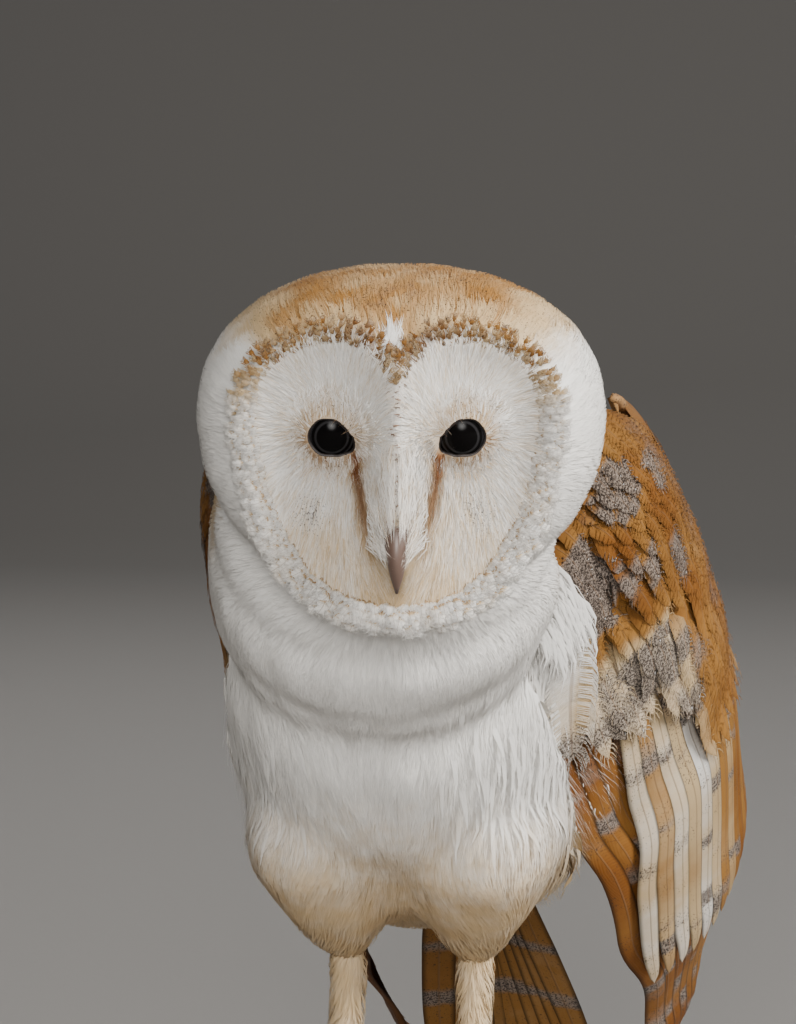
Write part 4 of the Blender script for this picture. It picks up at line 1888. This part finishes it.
long = chance.uniform(2.0, 3.6, len(root))[:, None, None] * MM
lines = root[:, None] + own[:, None] * long * BRISTLE_RUN + up[:, None] * long * BRISTLE_RISE
bristle = strands(lines, np.repeat(up[:, None], 3, 1), np.full(len(root), 0.14) * MM, on_skin(root)[2],
                  np.tile([0.12, 0, 0], (len(root), 1)), (1, 0.8))
TOE_SCALE = plumage("toe scales", 0.55)
grown("toe_scutes", scutes, TOE_SCALE)
grown("toe_bristles", [bristle], DOWN)

# %% [markdown]
# The frame's claws have flat facets. Each is split once and smoothed twice, except at its
# underside, which stays where it rests on the floor. All claws are one piece.

# %% Claws
CLAW_HORN = plain("claw horn", (0.035, 0.028, 0.026), 0.3, 0.3)
bm = bmesh.new()
claws = [n for n in sorted(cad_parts) if n.startswith("claw_")]
for node_name in claws:
    solid = solid_of(node_name)
    bmesh.ops.subdivide_edges(solid, edges=solid.edges, cuts=1, use_grid_fill=True, smooth=0.0)
    for _ in range(2):
        bmesh.ops.smooth_vert(solid, verts=[v for v in solid.verts if v.co.z > 0.9 * MM], factor=0.25,
                              use_axis_x=True, use_axis_y=True, use_axis_z=True)
    piece = bpy.data.meshes.new("claw")
    solid.to_mesh(piece)
    solid.free()
    bm.from_mesh(piece)
shaped("claws", bm, CLAW_HORN, "claw", *claws)

# %% [markdown]
# ## Camera, lights and floor
# A long lens from a little above looks at the face and the breast. The floor curves up
# behind the bird, so that no line crosses the background. A wide window light from one
# side shows the forms, a weak one in front opens the shadows in the face, and one from
# behind lifts the edges.

# %% Camera, lights and floor
CAMERA_AZIMUTH, CAMERA_RISE, CAMERA_FAR, LENS = math.radians(10), math.radians(5), 1.6, 234.0
LOOKS_AT = Vector((0.0003, -0.0805, 0.1884))
view = bpy.data.cameras.new("view")
view.lens, view.sensor_width, view.clip_end = LENS, 36, 20
camera = new_object("camera", view)
towards = Vector((math.sin(CAMERA_AZIMUTH), -math.cos(CAMERA_AZIMUTH), 0)) * math.cos(CAMERA_RISE)
towards.z = math.sin(CAMERA_RISE)
camera.location = LOOKS_AT + towards * CAMERA_FAR
camera.rotation_euler = towards.to_track_quat("Z", "Y").to_euler()
bpy.context.scene.camera = camera

FLOOR_FRONT, FLOOR_BACK, FLOOR_BEND, FLOOR_HALF = -3.5, 1.7, 0.8, 4.0
sweep = [(FLOOR_FRONT, 0.0), (FLOOR_BACK, 0.0)]
for turn in np.radians(np.arange(7.5, 90.1, 7.5)):
    sweep.append((FLOOR_BACK + FLOOR_BEND * math.sin(turn), FLOOR_BEND - FLOOR_BEND * math.cos(turn)))
sweep.append((FLOOR_BACK + FLOOR_BEND, 4.0))
floor_mesh = bpy.data.meshes.new("floor")
floor_corners = [(x, y, z) for y, z in sweep for x in (-FLOOR_HALF, FLOOR_HALF)]
floor_faces = [(2 * k, 2 * k + 1, 2 * k + 3, 2 * k + 2) for k in range(len(sweep) - 1)]
floor_mesh.from_pydata(floor_corners, [], floor_faces)
floor_mesh.polygons.foreach_set("use_smooth", [True] * len(floor_faces))
floor_mesh.materials.append(plain("floor", (0.25, 0.24, 0.23), 0.9))
new_object("floor", floor_mesh)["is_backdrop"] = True


def lamp(name, place, target, size, watts, tint=(1, 1, 1), spread=180):
    light = bpy.data.lights.new(name, "AREA")
    light.shape, light.size, light.energy, light.color = "DISK", size, watts, tint
    light.spread = math.radians(spread)
    made = new_object(name, light)
    made.location = place
    made.rotation_euler = (Vector(place) - Vector(target)).to_track_quat("Z", "Y").to_euler()


lamp("window", (1.3, -0.6, 1.05), (0, -0.05, 0.18), size=0.6, watts=43, tint=(1.0, 0.975, 0.94))
lamp("softbox", (0.10, -0.76, 0.42), (0, -0.10, 0.248), size=0.5, watts=0.56, tint=(1.0, 0.98, 0.95),
     spread=32)
lamp("back", (-0.3, 1.2, 1.1), (0, 0, 0.15), size=0.9, watts=7)
world = bpy.data.worlds.new("room")
world.use_nodes = True
world.node_tree.nodes["Background"].inputs["Color"].default_value = (0.84, 0.83, 0.81, 1)
world.node_tree.nodes["Background"].inputs["Strength"].default_value = 0.12
bpy.context.scene.world = world

# %% [markdown]
# ## Size
# The bird with its plumage should fill the box of its solids, give or take a few
# millimetres. Both boxes are written down, so that they can be compared.

# %% Size
low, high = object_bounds()
print("visual", [round(v, 4) for v in low], [round(v, 4) for v in high])
